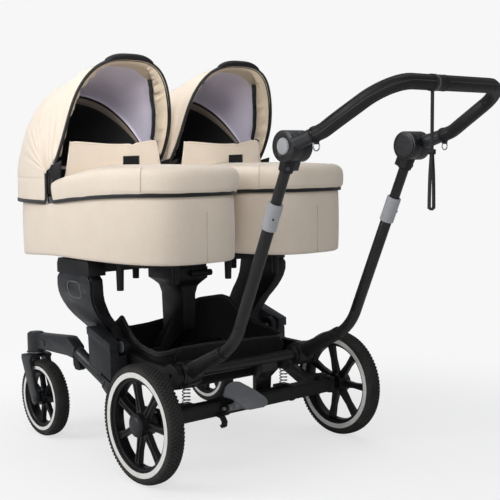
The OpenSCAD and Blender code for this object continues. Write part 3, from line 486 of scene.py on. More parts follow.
def runTree(obj, tree, material, **values):
    mod = obj.modifiers.new(tree.name, "NODES")
    mod.node_group = tree
    for item in tree.interface.items_tree:
        if item.item_type == "SOCKET" and item.in_out == "INPUT":
            if item.name == "Material":
                mod[item.identifier] = mats[material]
            elif item.name in values:
                mod[item.identifier] = values[item.name]
    freeze(obj)
    obj.data.shade_smooth()
    obj.data.set_sharp_from_angle(angle=math.radians(40))
    return obj


def copiesOn(tree, points, instance, rotation):
    inputs = {"Points": points, "Instance": instance, "Rotation": rotation}
    return addNode(tree, "GeometryNodeInstanceOnPoints", inputs).outputs[0]


def movedBy(tree, geometry, offset):
    return addNode(tree, "GeometryNodeTransform", {"Geometry": geometry, "Translation": offset}).outputs[0]


def cylinderNode(tree, sidesCount, radius, depth):
    inputs = {"Vertices": sidesCount, "Radius": radius, "Depth": depth}
    return addNode(tree, "GeometryNodeMeshCylinder", inputs).outputs[0]


def alignedTo(tree, vector):
    return addNode(tree, "FunctionNodeAlignRotationToVector", {"Vector": vector}, axis="Z").outputs[0]


def upVector(tree, height):
    return addNode(tree, "ShaderNodeCombineXYZ", {2: height}).outputs[0]


# Copies the piece round the X axis through a centre
def makeAroundTree():
    tree, asked = startTree("aroundWheel", Count=100, Centre=(0, 0, 0), Phase=0.0)
    points = addNode(tree, "GeometryNodePoints", {"Count": asked["Count"], "Position": asked["Centre"]})
    index = addNode(tree, "GeometryNodeInputIndex")
    step = mathNode(tree, "DIVIDE", 2 * math.pi, asked["Count"])
    turn = mathNode(tree, "MULTIPLY_ADD", index.outputs[0], step, asked["Phase"])
    turns = addNode(tree, "ShaderNodeCombineXYZ", {0: turn})
    return endTree(tree, asked, copiesOn(tree, points.outputs[0], asked["Geometry"], turns.outputs[0]))


# Small stitches laid end to end along the piece's edges
def makeStitchTree():
    tree, asked = startTree("stitchLine", Spacing=0.004, Stitch=0.0026, Thread=0.0004)
    line = addNode(tree, "GeometryNodeMeshToCurve", {0: asked["Geometry"]})
    inputs = {"Curve": line.outputs[0], "Length": asked["Spacing"]}
    points = addNode(tree, "GeometryNodeCurveToPoints", inputs, mode="LENGTH").outputs
    stitch = cylinderNode(tree, 5, asked["Thread"], asked["Stitch"])
    return endTree(tree, asked, copiesOn(tree, points["Points"], stitch, alignedTo(tree, points["Tangent"])))


# A screw head with a six-sided socket on each point, square to the point's "facing"
def makeScrewTree():
    tree, asked = startTree("screwHeads", **{"Head radius": 0.003, "Head height": 0.0016, "Socket": 0.0016})
    radius, height = asked["Head radius"], asked["Head height"]
    inputs = {"Vertices": 28, "Radius Bottom": radius, "Depth": 0.0005,
              "Radius Top": mathNode(tree, "MULTIPLY", radius, 0.82)}
    ring = addNode(tree, "GeometryNodeMeshCone", inputs).outputs[0]
    lift = mathNode(tree, "MULTIPLY", height, 0.5)
    body = addNode(tree, "GeometryNodeJoinGeometry")
    for part in (cylinderNode(tree, 28, radius, height), movedBy(tree, ring, upVector(tree, lift))):
        tree.links.new(part, body.inputs[0])
    socket = cylinderNode(tree, 6, asked["Socket"], 0.0012)
    socketUp = movedBy(tree, socket, upVector(tree, mathNode(tree, "ADD", lift, 0.0003)))
    cut = addNode(tree, "GeometryNodeMeshBoolean", {0: body.outputs[0]}, operation="DIFFERENCE")
    tree.links.new(socketUp, cut.inputs[1])
    facing = addNode(tree, "GeometryNodeInputNamedAttribute", {"Name": "facing"}, data_type="FLOAT_VECTOR")
    aligned = alignedTo(tree, facing.outputs[0])
    return endTree(tree, asked, copiesOn(tree, asked["Geometry"], cut.outputs[0], aligned))


# A coil spring standing on its foot
def makeSpringTree():
    tree, asked = startTree("coilSpring", Radius=0.0105, Turns=5.0, Height=0.0464, Wire=0.0016, Foot=(0, 0, 0))
    inputs = {"Resolution": 28, "Rotations": asked["Turns"], "Start Radius": asked["Radius"],
              "End Radius": asked["Radius"], "Height": asked["Height"]}
    spiral = addNode(tree, "GeometryNodeCurveSpiral", inputs)
    wire = addNode(tree, "GeometryNodeCurvePrimitiveCircle", {"Resolution": 12, "Radius": asked["Wire"]})
    inputs = {"Curve": spiral.outputs[0], "Profile Curve": wire.outputs[0], "Fill Caps": True}
    tube = addNode(tree, "GeometryNodeCurveToMesh", inputs)
    return endTree(tree, asked, movedBy(tree, tube.outputs[0], asked["Foot"]))


aroundTree = makeAroundTree()
stitchTree = makeStitchTree()
screwTree = makeScrewTree()
springTree = makeSpringTree()


def stitches(name, path, material="thread", **values):
    mesh = bpy.data.meshes.new(name)
    mesh.from_pydata([tuple(p) for p in path], [(i, i + 1) for i in range(len(path) - 1)], [])
    return runTree(addObject(name, mesh), stitchTree, material, **values)


def screws(name, spots, material, **values):
    mesh = bpy.data.meshes.new(name)
    mesh.from_pydata([tuple(s[0]) for s in spots], [], [])
    attribute = mesh.attributes.new("facing", "FLOAT_VECTOR", "POINT")
    for i, s in enumerate(spots):
        attribute.data[i].vector = s[1]
    return runTree(addObject(name, mesh), screwTree, material, **values)


print("node trees made")

# Rigid parts, taken from the frame and given softened edges: material and edge width in mm
dressing = {
    "side_cover": ("greyPlastic", 1.2), "side_frame": ("blackPlastic", 1.2), "hinge_block": ("blockPlastic", 1.2),
    "lower_rail": ("railMetal", 0.5), "front_arm": ("armMetal", 1.6), "fork": ("armMetal", 1.2),
    "fold_button": ("buttonPlastic", 1.2), "handle_lower": ("tube", 0.5), "sleeve": ("lightPlastic", 0.6),
    "handle_upper": ("tube", 0.8), "extend_button": ("lightPlastic", 0.4), "tilt_button": ("lightPlastic", 1.2),
    "d_ring": ("steel", 0), "brake_bolt": ("steel", 0.4), "rear_rim": ("rimPlastic", 0.8), "front_rim": ("rimPlastic", 0.8),
    "hub_cap": ("capPlastic", 0.4), "cot_base": ("blackPlastic", 1.0),
}
middleDressing = {
    "rear_axle": ("blackPlastic", 1.4), "brake_pedal": ("pedalPlastic", 2.0), "cross_tube": ("tube", 0.8),
    "centre_upright": ("blackPlastic", 1.2), "handlebar": ("tube", 0.6), "grip_cover": ("leather", 0.4),
}


def dressNode(name, material, bevel):
    mesh = nodes[name].data.copy()
    bm = bmesh.new()
    bm.from_mesh(mesh)
    bmesh.ops.remove_doubles(bm, verts=bm.verts, dist=3e-6)
    bmesh.ops.dissolve_degenerate(bm, edges=bm.edges, dist=1e-6)
    bmesh.ops.dissolve_limit(bm, angle_limit=math.radians(0.6), verts=bm.verts, edges=bm.edges)
    bm.to_mesh(mesh)
    bm.free()
    mesh.materials.clear()
    mesh.materials.append(mats[material])
    obj = addObject(name + ".dressed", mesh)
    mesh.shade_smooth()
    if bevel:
        mod = obj.modifiers.new("edge", "BEVEL")
        mod.width = bevel * 0.001
        mod.segments = 2
        mod.limit_method = "ANGLE"
        mod.angle_limit = math.radians(36)
        mod.use_clamp_overlap = True
        mod.harden_normals = False
        freeze(obj)
        obj.data.shade_smooth()
    obj.data.set_sharp_from_angle(angle=math.radians(38))
    obj.name = name.replace("_", ".") + ".finish"
    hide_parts(name)
    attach(obj, nodes[name]["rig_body"])
    return obj


dressed = {}
for base, (material, bevel) in dressing.items():
    for side in sides:
        dressed[f"{base}_{side}"] = dressNode(f"{base}_{side}", material, bevel)
for base, (material, bevel) in middleDressing.items():
    dressed[base] = dressNode(base, material, bevel)
print("rigid parts dressed:", len(dressed))

# Tyres, in mm; "block" is a tread block's length and height
tyreSettings = {
    "rear": {"x": 351, "y": 0, "radius": 155, "inner": 118.5, "width": 46, "band": (121, 134.5),
             "blocks": 92, "block": (6.9, 2.3)},
    "front": {"x": 312, "y": 572, "radius": 115, "inner": 83.5, "width": 44, "band": (86, 95.5),
              "blocks": 68, "block": (6.7, 2.2)},
}
# Where each band of blocks starts and ends across the tyre, in shares of its width, and how it slants
treadBands = [(-0.455, -0.33, 0.6), (-0.295, -0.16, -1.0), (-0.125, -0.01, 1.0),
              (0.025, 0.14, -1.0), (0.175, 0.30, 1.0), (0.335, 0.455, -0.6)]


# A point on a circle round the wheel's axle
def aroundAxle(x, radius, turn):
    return Vector((x, radius * math.cos(turn), radius * math.sin(turn))) * 0.001


def tyreProfile(s):
    r, w, inner = s["radius"], s["width"], s["inner"]
    low, high = s["band"]
    half = [(0, r - 2.8), (0.18, r - 3.3), (0.35, r - 5.2), (0.44, r - 8.6), (0.482, r - 12.5), (0.488, r - 16),
            (0.47, high + 1.2), (0.475, high), (0.478, high - 1), (0.478, low + 1), (0.47, low), (0.455, low - 0.8),
            (0.36, inner)]
    right = [(x * w, radius) for x, radius in half]
    return [(-x, radius) for x, radius in reversed(right[1:])] + right


def makeTyre(end, side):
    s, sign = tyreSettings[end], sides[side]
    centre = mm(sign * s["x"], s["y"], s["radius"])
    profile = tyreProfile(s)
    count = 144
    rows = []
    for x, radius in profile + [profile[0]]:
        rows.append([centre + aroundAxle(x, radius, 2 * math.pi * k / count) for k in range(count)])
    low, high = s["band"]
    last = len(profile) - 1

    def paint(row, col):
        if row >= last:
            return 0
        mid = (profile[row][1] + profile[row + 1][1]) / 2
        return 1 if low <= mid <= high else 0

    tyre = gridPiece(f"tyre.{end}.{side}", rows, ["rubber", "whiteRubber"], closed=True, faceMat=paint)
    soften(fixNormals(tyre))
    # One row of tread blocks, bent over the crown, then copied round the wheel
    length, tall = s["block"]
    pitch = 2 * math.pi * s["radius"] / s["blocks"]
    ribs = []
    for band, (x0, x1, skew) in enumerate(treadBands):
        verts, steps = [], 2
        for i in range(steps + 1):
            share = lerp(x0, x1, i / steps)
            crown = s["radius"] - 2.9 - 2.6 * (abs(share) / 0.35) ** 3.0
            mid = (band % 2) * pitch / 2 + skew * (i - steps / 2) * 1.6
            for reach, out in ((-1, -1.0), (1, -1.0), (0.86, tall), (-0.86, tall)):
                turn = (length / 2 * reach + mid) / s["radius"]
                verts.append(aroundAxle(share * s["width"], crown + out, turn))
        faces = [f[::-1] for f in gridFaces(steps + 1, 4, True)]
        faces += [(0, 1, 2, 3), tuple(reversed(range(steps * 4, steps * 4 + 4)))]
        ribs.append(fixNormals(newPiece(f"block{band}", verts, faces, ["rubber"], smooth=False)))
    tread = joinPieces(f"tread.{end}.{side}", ribs)
    runTree(tread, aroundTree, "rubber", Count=s["blocks"], Centre=centre, Phase=0.01)
    for piece in (tyre, tread):
        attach(piece, f"{end}_wheel_{side}")
    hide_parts(f"{end}_tyre_{side}")


for end in tyreSettings:
    for side in sides:
        makeTyre(end, side)
print("tyres and treads made")

# The two rear springs, in mm
springSettings = {"x": 176, "y": 50, "foot": 168.6, "top": 215, "radius": 10.5, "wire": 1.6, "turns": 5}
coils = []
for sign in (-1, 1):
    s = springSettings
    foot = mm(sign * s["x"], s["y"], s["foot"])
    holder = newPiece("spring", [foot], [], ["chrome"])
    coils.append(runTree(holder, springTree, "chrome", Radius=s["radius"] / 1000, Turns=float(s["turns"]),
                         Height=(s["top"] - s["foot"]) / 1000, Wire=s["wire"] / 1000, Foot=foot))
springs = joinPieces("rear.springs", coils)
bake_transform(springs)
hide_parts("rear_springs")

# Carrycots, in mm; "rear" and "front" say how square the outline is at each end
cot = {"x": 195, "halfWidth": 182, "halfLength": 402, "y": 330, "bottom": 557, "wall": 10, "rear": 3.2, "front": 2.5}
# The hood about its hinge: "fan" gives its reach in mm at each angle from the front, up to the mouth
hoodSet = {"y": 404, "z": 789, "width": 185, "power": 2.4, "mouth": 112.7,
           "fan": [(112.7, 342), (106, 320), (99, 303), (90, 284), (80, 273), (70, 273), (60, 282), (49, 293),
                   (38, 303), (27, 311), (16, 322), (7, 336), (0, 345)]}


def rimZ(y):
    return 700 + 30 * math.sin(math.pi / 2 * clamp((404 - y) / 470))


def cotPlan(a, off=0.0):
    e = 2 / (cot["rear"] if math.sin(a) < 0 else cot["front"])
    x = (cot["halfWidth"] + off) * spow(math.cos(a), e)
    return x, cot["y"] + (cot["halfLength"] + off) * spow(math.sin(a), e)


# Angles that space points evenly along the outline
def planAngles(count, lo=0.0, hi=2 * math.pi):
    steps = 1600
    fine = [lo + (hi - lo) * i / steps for i in range(steps + 1)]
    pts = [cotPlan(a) for a in fine]
    run = [0.0]
    for i in range(steps):
        run.append(run[-1] + math.dist(pts[i], pts[i + 1]))
    out, j = [], 0
    for k in range(count):
        want = run[-1] * k / (count - 1)
        while j < steps - 1 and run[j + 1] < want:
            j += 1
        t = (want - run[j]) / max(1e-9, run[j + 1] - run[j])
        out.append(lerp(fine[j], fine[j + 1], clamp(t)))
    return out


# The reach at an angle, smoothed between the fan's own points
def fanRadius(theta):
    f = hoodSet["fan"]
    if theta >= f[0][0]:
        return f[0][1]
    for i in range(len(f) - 1):
        a, b = f[i], f[i + 1]
        if b[0] <= theta <= a[0]:
            before = f[max(0, i - 1)]
            after = f[min(len(f) - 1, i + 2)]
            t = (a[0] - theta) / (a[0] - b[0])
            ma = (b[1] - before[1]) / max(1e-6, before[0] - b[0]) * (a[0] - b[0])
            mb = (after[1] - a[1]) / max(1e-6, a[0] - after[0]) * (a[0] - b[0])
            t2, t3 = t * t, t * t * t
            ends = (2 * t3 - 3 * t2 + 1) * a[1] + (-2 * t3 + 3 * t2) * b[1]
            return ends + (t3 - 2 * t2 + t) * ma + (t3 - t2) * mb
    return f[-1][1]


# The mouth is squarer and leans back more than the rest, and its sides bow towards the rear
mouthSet = {"from": 78, "power": 2.84, "narrow": 8, "lean": 2.8, "bow": 27, "bowAt": 0.32}


def hoodPoint(cx, theta, a, inset=0.0, push=0.0):
    m = mouthSet
    k = clamp((theta - m["from"]) / (hoodSet["mouth"] - m["from"]))
    k = k * k * (3 - 2 * k)
    w = hoodSet["width"] - m["narrow"] * k - inset + push
    e = 2 / lerp(hoodSet["power"], m["power"], k)
    u = abs(math.sin(a)) ** e
    d = (fanRadius(theta) - inset + push) * u
    t = math.radians(theta + m["lean"] * k)
    back = m["bow"] * k * math.exp(-((u - m["bowAt"]) / 0.38) ** 2) * min(1, u / 0.12)
    return mm(cx + w * spow(math.cos(a), e), hoodSet["y"] + d * math.cos(t) - back, hoodSet["z"] + d * math.sin(t))


def wobble(p, scale, seed=0.0):
    return noise.noise(Vector((p[0] * scale + seed, p[1] * scale - seed, p[2] * scale + 2 * seed)))


# The cover hangs lower over the base at the hood end
tubHem = {"drop": 21, "from": 380}


def makeTub(side):
    sign = sides[side]
    cx = sign * cot["x"]
    angles = [2 * math.pi * k / 240 for k in range(240)]
    rows = []
    # Outer wall from the tucked hem to the rim, then down the inside; the later heights are shares of the rim's
    wall = cot["wall"]
    outer = [(-24, 0.0), (-12, 0.0), (-5, 0.8), (-1.4, 3.4), (0, 9), (0.6, 18), (1.0, 32), (1.4, 50), (1.6, 70),
             (1.6, 90), (1.4, 110), (1.0, 0.8), (0.4, 0.93), (-0.6, 0.995)]
    inner = [(-3, 1.012), (-7.5, 1.006), (-wall, 0.97), (-wall - 0.6, 0.8), (-wall - 1, 60), (-wall - 2, 26),
             (-wall - 12, 16), (-wall - 60, 15)]
    for k, (off, z) in enumerate(outer + inner):
        row = []
        for a in angles:
            x, y = cotPlan(a, off)
            top = rimZ(y) - cot["bottom"]
            height = z * top if k > 9 and z < 2 else z
            if z > 2:
                height = min(z, top * 0.78)
            if k < len(outer) and k:
                height -= tubHem["drop"] * clamp((y - tubHem["from"]) / 300) ** 1.4 * clamp(1 - height / 60)
            push = 0.0
            if k < len(outer):
                low = math.exp(-(height / 26) ** 2)
                push += low * 1.5 * wobble((x, y, 0), 0.055, 3.0) + 0.7 * wobble((x, y, height), 0.012, 7.0 + sign)
                push += math.exp(-((top - height) / 22) ** 2) * 0.5 * wobble((x, y, 0), 0.05, 1.0)
            nx, ny = (v / max(1e-6, math.hypot(x, y - cot["y"])) for v in (x, y - cot["y"]))
            row.append(mm(cx + x + nx * push, y + ny * push, cot["bottom"] + height))
        rows.append(row)
    tub = gridPiece(f"cot.tub.{side}", rows, ["cloth", "lining"], closed=True, faceMat=lambda r, c: int(r >= len(outer)))
    # Close the underside and the floor of the inside
    capRings(tub, len(angles), 1)
    tub.data.shade_smooth()
    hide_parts(f"cot_tub_{side}")
    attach(tub, f"cot_{side}")
    # Upright seams down the cloth
    for k, deg in enumerate((270, 90)):
        a = math.radians(deg)
        path, outs = [], []
        for h in [6, 14, 26, 40, 60, 80, 100, 120, 134]:
            x, y = cotPlan(a, 1.5)
            n = Vector((x, y - cot["y"], 0)).normalized()
            path.append(mm(cx + x, y, cot["bottom"] + h))
            outs.append(n)
        seam = bandPiece(f"tub.seam.{k}.{side}", path, outs, 0.0009, 0.0007, "clothDark", sidesCount=6)
        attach(seam, f"cot_{side}")


apronSet = {"skirtEnd": 368, "topEnd": 350, "spineRear": 20, "fall": 36, "fallFrom": 118, "top": 803.2}


def apronFall(y):
    return apronSet["fall"] * clamp((y - apronSet["fallFrom"]) / 256) ** 1.6


# Height of a level of the apron at y, drawn in where its top falls
def apronHeight(y, z):
    base, top = rimZ(y) + 13, apronSet["top"]
    return base + (z - base) * (top - apronFall(y) - base) / (top - base)


# How far past the sides' middle the outline reaches y, as an angle
def bendTo(y):
    return math.asin(clamp((y - cot["y"]) / cot["halfLength"]) ** (cot["front"] / 2))


def apronRows(cx):
    # Sweep round the rear from one hood hinge to the other
    bend = bendTo(apronSet["skirtEnd"])
    angles = planAngles(150, math.pi - bend, 2 * math.pi + bend)
    # Distance out from the cot's wall, then either a height or a rise over the rim
    levels = [(2.0, None, 0.6), (5.5, None, 5.5), (8.5, None, 13), (11, 744, 0), (12.3, 758, 0), (12.8, 770, 0),
              (12.2, 780, 0), (10, 788.5, 0), (5.5, 795.5, 0), (-1.5, 800.5, 0), (-11, 803.2, 0)]
    rows = []
    for off, z, dz in levels:
        row = []
        for a in angles:
            x, y = cotPlan(a, off)
            row.append((x, y, rimZ(y) + dz if z is None else apronHeight(y, z)))
        rows.append(row)
    rim = rows[-1]
    shares = [0.08, 0.17, 0.28, 0.4, 0.53, 0.67, 0.82, 1.0]
    for s in shares:
        row = []
        for x, y, z in rim:
            sy = clamp(y, apronSet["spineRear"] + 90, apronSet["topEnd"])
            py = lerp(min(y, apronSet["topEnd"] + (y - apronSet["topEnd"]) * (1 - s)), sy, s)
            rise = 5.5 * math.sin(s * math.pi / 2) - apronFall(y) * (1 - s) ** 1.5
            row.append((lerp(x, 0, s), py, apronSet["top"] + rise))
        rows.append(row)
    out = []
    for k, row in enumerate(rows):
        line = []
        for x, y, z in row:
            # Front of the top ends in a straight line under the flap
            if k >= 7:
                y = min(y, lerp(apronSet["skirtEnd"], apronSet["topEnd"], clamp((k - 7) / 3)))
            swell = 1.3 * wobble((x, y, z), 0.011, 5.0) + 0.7 * wobble((x, y, z), 0.028, 2.0)
            corner = math.exp(-((y + 40) / 90) ** 2) * math.exp(-((abs(x) - 120) / 60) ** 2)
            swell += 1.2 * corner * math.sin((x * 0.5 + y * 0.9) * 0.16)
            nx, ny = (q / max(1e-6, math.hypot(x, y - cot["y"])) for q in (x, y - cot["y"]))
            flat = clamp((k - 6) / 4)
            out2 = swell * (1 - flat)
            line.append(mm(cx + x + nx * out2, y + ny * out2, z + swell * flat))
        out.append(line)
    return out


def makeApron(side):
    sign = sides[side]
    cx = sign * cot["x"]
    apron = soften(fixNormals(gridPiece(f"apron.{side}", apronRows(cx), ["cloth"])))
    turnFaces(apron, lambda p: p.normal.z)
    addThickness(apron, 0.004)
    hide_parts(f"apron_{side}")
    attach(apron, f"cot_{side}")
    # Upright seams round the side
    for k, deg in enumerate((225.5, 540 - 225.5)):
        a = math.radians(deg)
        path, outs = [], []
        for off, z in [(8.8, 718), (9.5, 728), (11.4, 744), (12.9, 758), (13.4, 770), (12.8, 780), (10.6, 788.5),
                       (6.1, 796.1), (-1.0, 801.4), (-11, 804)]:
            x, y = cotPlan(a, off)
            path.append(mm(cx + x, y, max(rimZ(y) + 13, apronHeight(y, z))))
            outs.append(Vector((x, y - cot["y"], 0)).normalized())
        seam = bandPiece(f"apron.seam.{k}.{side}", path, outs, 0.0008, 0.0007, "clothDark", sidesCount=6)
        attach(seam, f"cot_{side}")
    # Wind flap standing at the opening
    edge = [(-143, 871), (-128, 873), (-100, 871.5), (-60, 868.5), (-20, 866), (20, 865.5), (46, 866.5), (58, 863),
            (70, 868), (100, 873), (128, 876.5), (143, 876), (149, 860)]
    cols, levels = 60, 18
    rows = []
    for j in range(levels + 1):
        row = []
        for i in range(cols + 1):
            s = i / cols
            x = lerp(-166, 166, s)
            v = j / levels
            narrow = lerp(1.0, 0.872, v ** 0.9)
            topZ = 0
            for (x0, z0), (x1, z1) in zip(edge, edge[1:]):
                if x0 <= x * 0.872 <= x1:
                    topZ = lerp(z0, z1, (x * 0.872 - x0) / max(1e-6, x1 - x0))
            topZ = topZ or 873
            z = lerp(766, topZ, v)
            bow = -1.75 * math.sin(v * math.pi * 0.5) * math.cos((s - 0.5) * math.pi)
            ripple = 2.2 * wobble((x, z, 0), 0.014, 9.0 + sign) - 3 * math.exp(-((x * narrow - 58) / 12) ** 2) * v * v
            row.append(mm(cx + x * narrow, 345.5 + bow + ripple, z))
        rows.append(row)
    flap = fixNormals(gridPiece(f"wind.flap.{side}", rows, ["cloth"]))
    turnFaces(flap, lambda p: -p.normal.y)
    addThickness(flap, 0.003, offset=0)
    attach(flap, f"cot_{side}")
    hem = [r + Vector((0, -0.0021, 0)) for r in rows[levels - 1]]
    sewn = stitches(f"flap.stitches.{side}", hem[1:-1], Spacing=0.0042, Stitch=0.0028, Thread=0.00035)
    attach(sewn, f"cot_{side}")
    # Plain sewn patch, left bare
    spots = []
    for j in range(7):
        row = []
        for i in range(9):
            u, v = i / 8, j / 6
            x, z = 24 + 55 * u, 805 + 26 * v + 1.2 * u
            near = min(rows[int(levels * 0.3)] + rows[int(levels * 0.45)] + rows[int(levels * 0.6)],
                       key=lambda q: math.hypot(q.x - (cx + x) * 0.001, q.z - z * 0.001))
            row.append(Vector((mm(cx + x, 0, z).x, near.y - 0.0038, z * 0.001)))
        spots.append(row)
    patch = fixNormals(gridPiece(f"bare.patch.{side}", spots, ["label"]))
    turnFaces(patch, lambda p: -p.normal.y)
    addThickness(patch, 0.0012, offset=-0.5)
    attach(patch, f"cot_{side}")


def makeBindings(side):
    cx = sides[side] * cot["x"]
    # Under the apron, from hinge to hinge round the rear, turning up at both ends
    bend = bendTo(366)
    pts, outs = [], []
    for a in planAngles(170, math.pi - bend, 2 * math.pi + bend):
        x, y = cotPlan(a, 5.6)
        nx, ny = x / cot["halfWidth"] ** 2, (y - cot["y"]) / cot["halfLength"] ** 2
        pts.append(mm(cx + x, y, rimZ(y) + 5.2))
        outs.append(Vector((nx / math.hypot(nx, ny), ny / math.hypot(nx, ny), 0)))
    rise = [(5, 709), (7.5, 716), (8.5, 726), (8.5, 740), (8, 752), (7, 762), (5.5, 770)]
    x0, y0 = cotPlan(math.pi - bend, 5.6)
    ends = [mm(cx + x0 + 1.0, y0 + dy, z) for dy, z in rise]
    pts = list(reversed(ends)) + pts + [mm(cx - x0 - 1.0, y0 + dy, z) for dy, z in rise]
    outs = [Vector((-1, 0, 0))] * len(rise) + outs + [Vector((1, 0, 0))] * len(rise)
    piece = bandPiece(f"apron.binding.{side}", pts, outs, 0.0056, 0.0019, "binding")
    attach(piece, f"cot_{side}")


for side in sides:
    makeTub(side)
    makeApron(side)
    makeBindings(side)
print("tubs, aprons and bindings made")

# The hood's folds: angle and half width in degrees, depth in mm between them
creases = [(104, 2.2, 2.4), (94, 3.4, 2.0), (86, 2.6, 1.6), (77, 4.2, 2.2), (69, 2.6, 1.5), (61, 4.0, 2.4),
           (52, 2.4, 1.6), (43, 3.2, 2.2), (31, 2.6, 2.6), (18, 2.2, 3.0)]


def hoodPush(theta, a, seed):
    reach = abs(math.sin(a)) ** 0.83
    near = math.exp(-(reach / 0.52) ** 2) * clamp(reach / 0.14)
    push = 0.0
    for centre, depth, width in creases:
        drift = centre + 5 * (reach - 0.3) * math.sin(centre)
        push -= depth * math.exp(-((theta - drift) / width) ** 2)
        push += depth * 0.45 * math.exp(-((theta - drift - 2.2 * width) / (1.5 * width)) ** 2)
    side = 0.8 if a > math.pi / 2 else 1.0
    push *= 1.7 * near * side * clamp((111.5 - theta) / 7)
    push += 1.1 * noise.noise(Vector((theta * 0.035 + seed, a * 2.1, seed))) * reach
    push += 0.5 * noise.noise(Vector((theta * 0.11 + seed, a * 6.0, 2 + seed)))
    # The sewn ridge over the middle bow
    push += 1.6 * math.exp(-((theta - 66) / 2.0) ** 2) * clamp(reach * 1.6)
    return push * clamp((112.9 - theta) / 2)


def skirtPoint(cx, a, z, inset=0.0, push=0.0):
    table = [(789, 345), (760, 346), (722, 347), (700.8, 347)]
    radius = table[-1][1]
    for (z0, r0), (z1, r1) in zip(table, table[1:]):
        if z1 <= z <= z0:
            radius = lerp(r0, r1, (z0 - z) / (z0 - z1))
    w = hoodSet["width"] - clamp((760 - z) / 60) * 2 - inset + push
    e = 2 / hoodSet["power"]
    return mm(cx + w * spow(math.cos(a), e), hoodSet["y"] + (radius - inset + push) * abs(math.sin(a)) ** e, z)


# Which way the faces look from a point inside the hood, up or down
def hoodOutward(p):
    return (p.center.z - 0.8) * p.normal.z


# Even angles across the hood, in degrees
def acrossHood(start, reach, steps):
    return [math.radians(start + reach * i / steps) for i in range(steps + 1)]


# Bakes the piece's place into its mesh; used for the hood's own cloth and what is sewn to it, from the bow at the top
# to the skirt at the bottom
def blendHood(piece):
    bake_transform(piece)
    return piece


# The way the mouth leans, up along its plane, and the way square to it
mouthAngle = math.radians(115.5)
mouthAlong = Vector((0, math.cos(mouthAngle), math.sin(mouthAngle)))
mouthCross = Vector((0, math.sin(mouthAngle), -math.cos(mouthAngle)))


def makeHood(side):
    sign = sides[side]
    cx = sign * cot["x"]
    seed = 3.0 + sign
    arc = acrossHood(0.6, 178.8, 120)
    thetas = [hoodSet["mouth"] * (1 - i / 84) for i in range(85)]
    rows = [[hoodPoint(cx, t, a, push=hoodPush(t, a, seed)) for a in arc] for t in thetas]
    for z in [784, 778, 773, 771, 769, 766, 758, 748, 738, 728, 718, 709, 701.5]:
        seam = -1.1 if z in (769, 771) else 0.0
        row = []
        for a in arc:
            drape = 1.2 * noise.noise(Vector((a * 5, z * 0.012, seed))) * clamp((800 - z) / 40)
            row.append(skirtPoint(cx, a, z, push=seam + drape))
        rows.append(row)
    hood = gridPiece(f"hood.{side}", rows, ["cloth"])
    turnFaces(hood, hoodOutward)
    addThickness(hood, 0.0026)
    blendHood(hood)
    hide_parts(f"hood_{side}")
    # Lining: facing at the mouth, lilac cloth to the hoop, then open mesh
    inside = [112.0, 110, 106, 101, 96, 92, 88, 84, 80, 76, 72, 68, 64, 60, 56.5, 53.8, 52.9, 51.2, 50.6, 48, 45.2,
              44.4, 42, 38, 32, 26, 20, 14, 8, 2]
    depth = {112.0: 3.4, 53.8: 7.5, 52.9: 10, 51.2: 10, 50.6: 10.6, 48: 10.6, 45.2: 10.4, 44.4: 8}
    liningRows = []
    for t in inside:
        row = []
        for a in arc:
            crinkle = 1.6 * noise.noise(Vector((a * 3.2, t * 0.05, seed + 4))) * (t < 108)
            row.append(hoodPoint(cx, t, a, depth.get(t, 7.0) + crinkle))
        liningRows.append(row)

    # The last angle of each cloth going down the inside, with its place in the list of materials
    parts = [(104, 1), (53.5, 0), (51, 3), (45, 2), (-1, 4)]
    lining = gridPiece(f"hood.lining.{side}", liningRows, ["lining", "facing", "hoopBand", "binding", "meshPanel"],
                       faceMat=lambda r, c: next(k for least, k in parts if inside[r] > least))
    turnFaces(lining, lambda p: -hoodOutward(p))
    addThickness(lining, 0.0012, offset=-1)
    blendHood(lining)
    # Skirt lining down to the rim
    skirtRows = [[skirtPoint(cx, a, z, inset=5.5) for a in arc] for z in (790, 770, 750, 730, 714, 704)]
    skirt = gridPiece(f"hood.skirt.lining.{side}", skirtRows, ["meshPanel"])
    addThickness(skirt, 0.0012, offset=0)
    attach(skirt, f"cot_{side}")
    # Binding round the mouth
    arcFine = acrossHood(1.5, 177, 150)
    mouth = [hoodPoint(cx, hoodSet["mouth"], a, 1.2) for a in arcFine]
    outs = [Vector((math.cos(a), 0, 0)) + mouthAlong * abs(math.sin(a)) for a in arcFine]
    binding = bandPiece(f"mouth.binding.{side}", mouth, outs, 0.0055, 0.0026, "binding")
    blendHood(binding)
    # Binding under the skirt, turning up at both ends
    lowArc = acrossHood(2, 176, 120)
    low = [skirtPoint(cx, a, 705, push=1.2) for a in lowArc]
    lowOuts = [Vector((math.cos(a), math.sin(a), 0)) for a in lowArc]
    rise = [Vector((0, dy, dz)) * 0.001 for dy, dz in
            [(-5, 2), (-9, 6), (-11, 13), (-12, 34), (-12, 52), (-12, 70), (-12, 81)]]
    startSide, endSide = [[end + step for step in rise] for end in (low[0], low[-1])]
    path = list(reversed(startSide)) + low + endSide
    pathOuts = [Vector((1, 0, 0))] * len(rise) + lowOuts + [Vector((-1, 0, 0))] * len(rise)
    skirtBinding = bandPiece(f"skirt.binding.{side}", path, pathOuts, 0.0056, 0.002, "binding")
    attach(skirtBinding, f"cot_{side}")


# Loose facing sewn inside the mouth: narrow over the crown, wide down the sides, with a ruffled edge
facingSet = {"crown": 15, "sides": 38, "depth": 15, "ruffle": 11.0, "small": 4.0, "elastic": 15, "reach": 342}


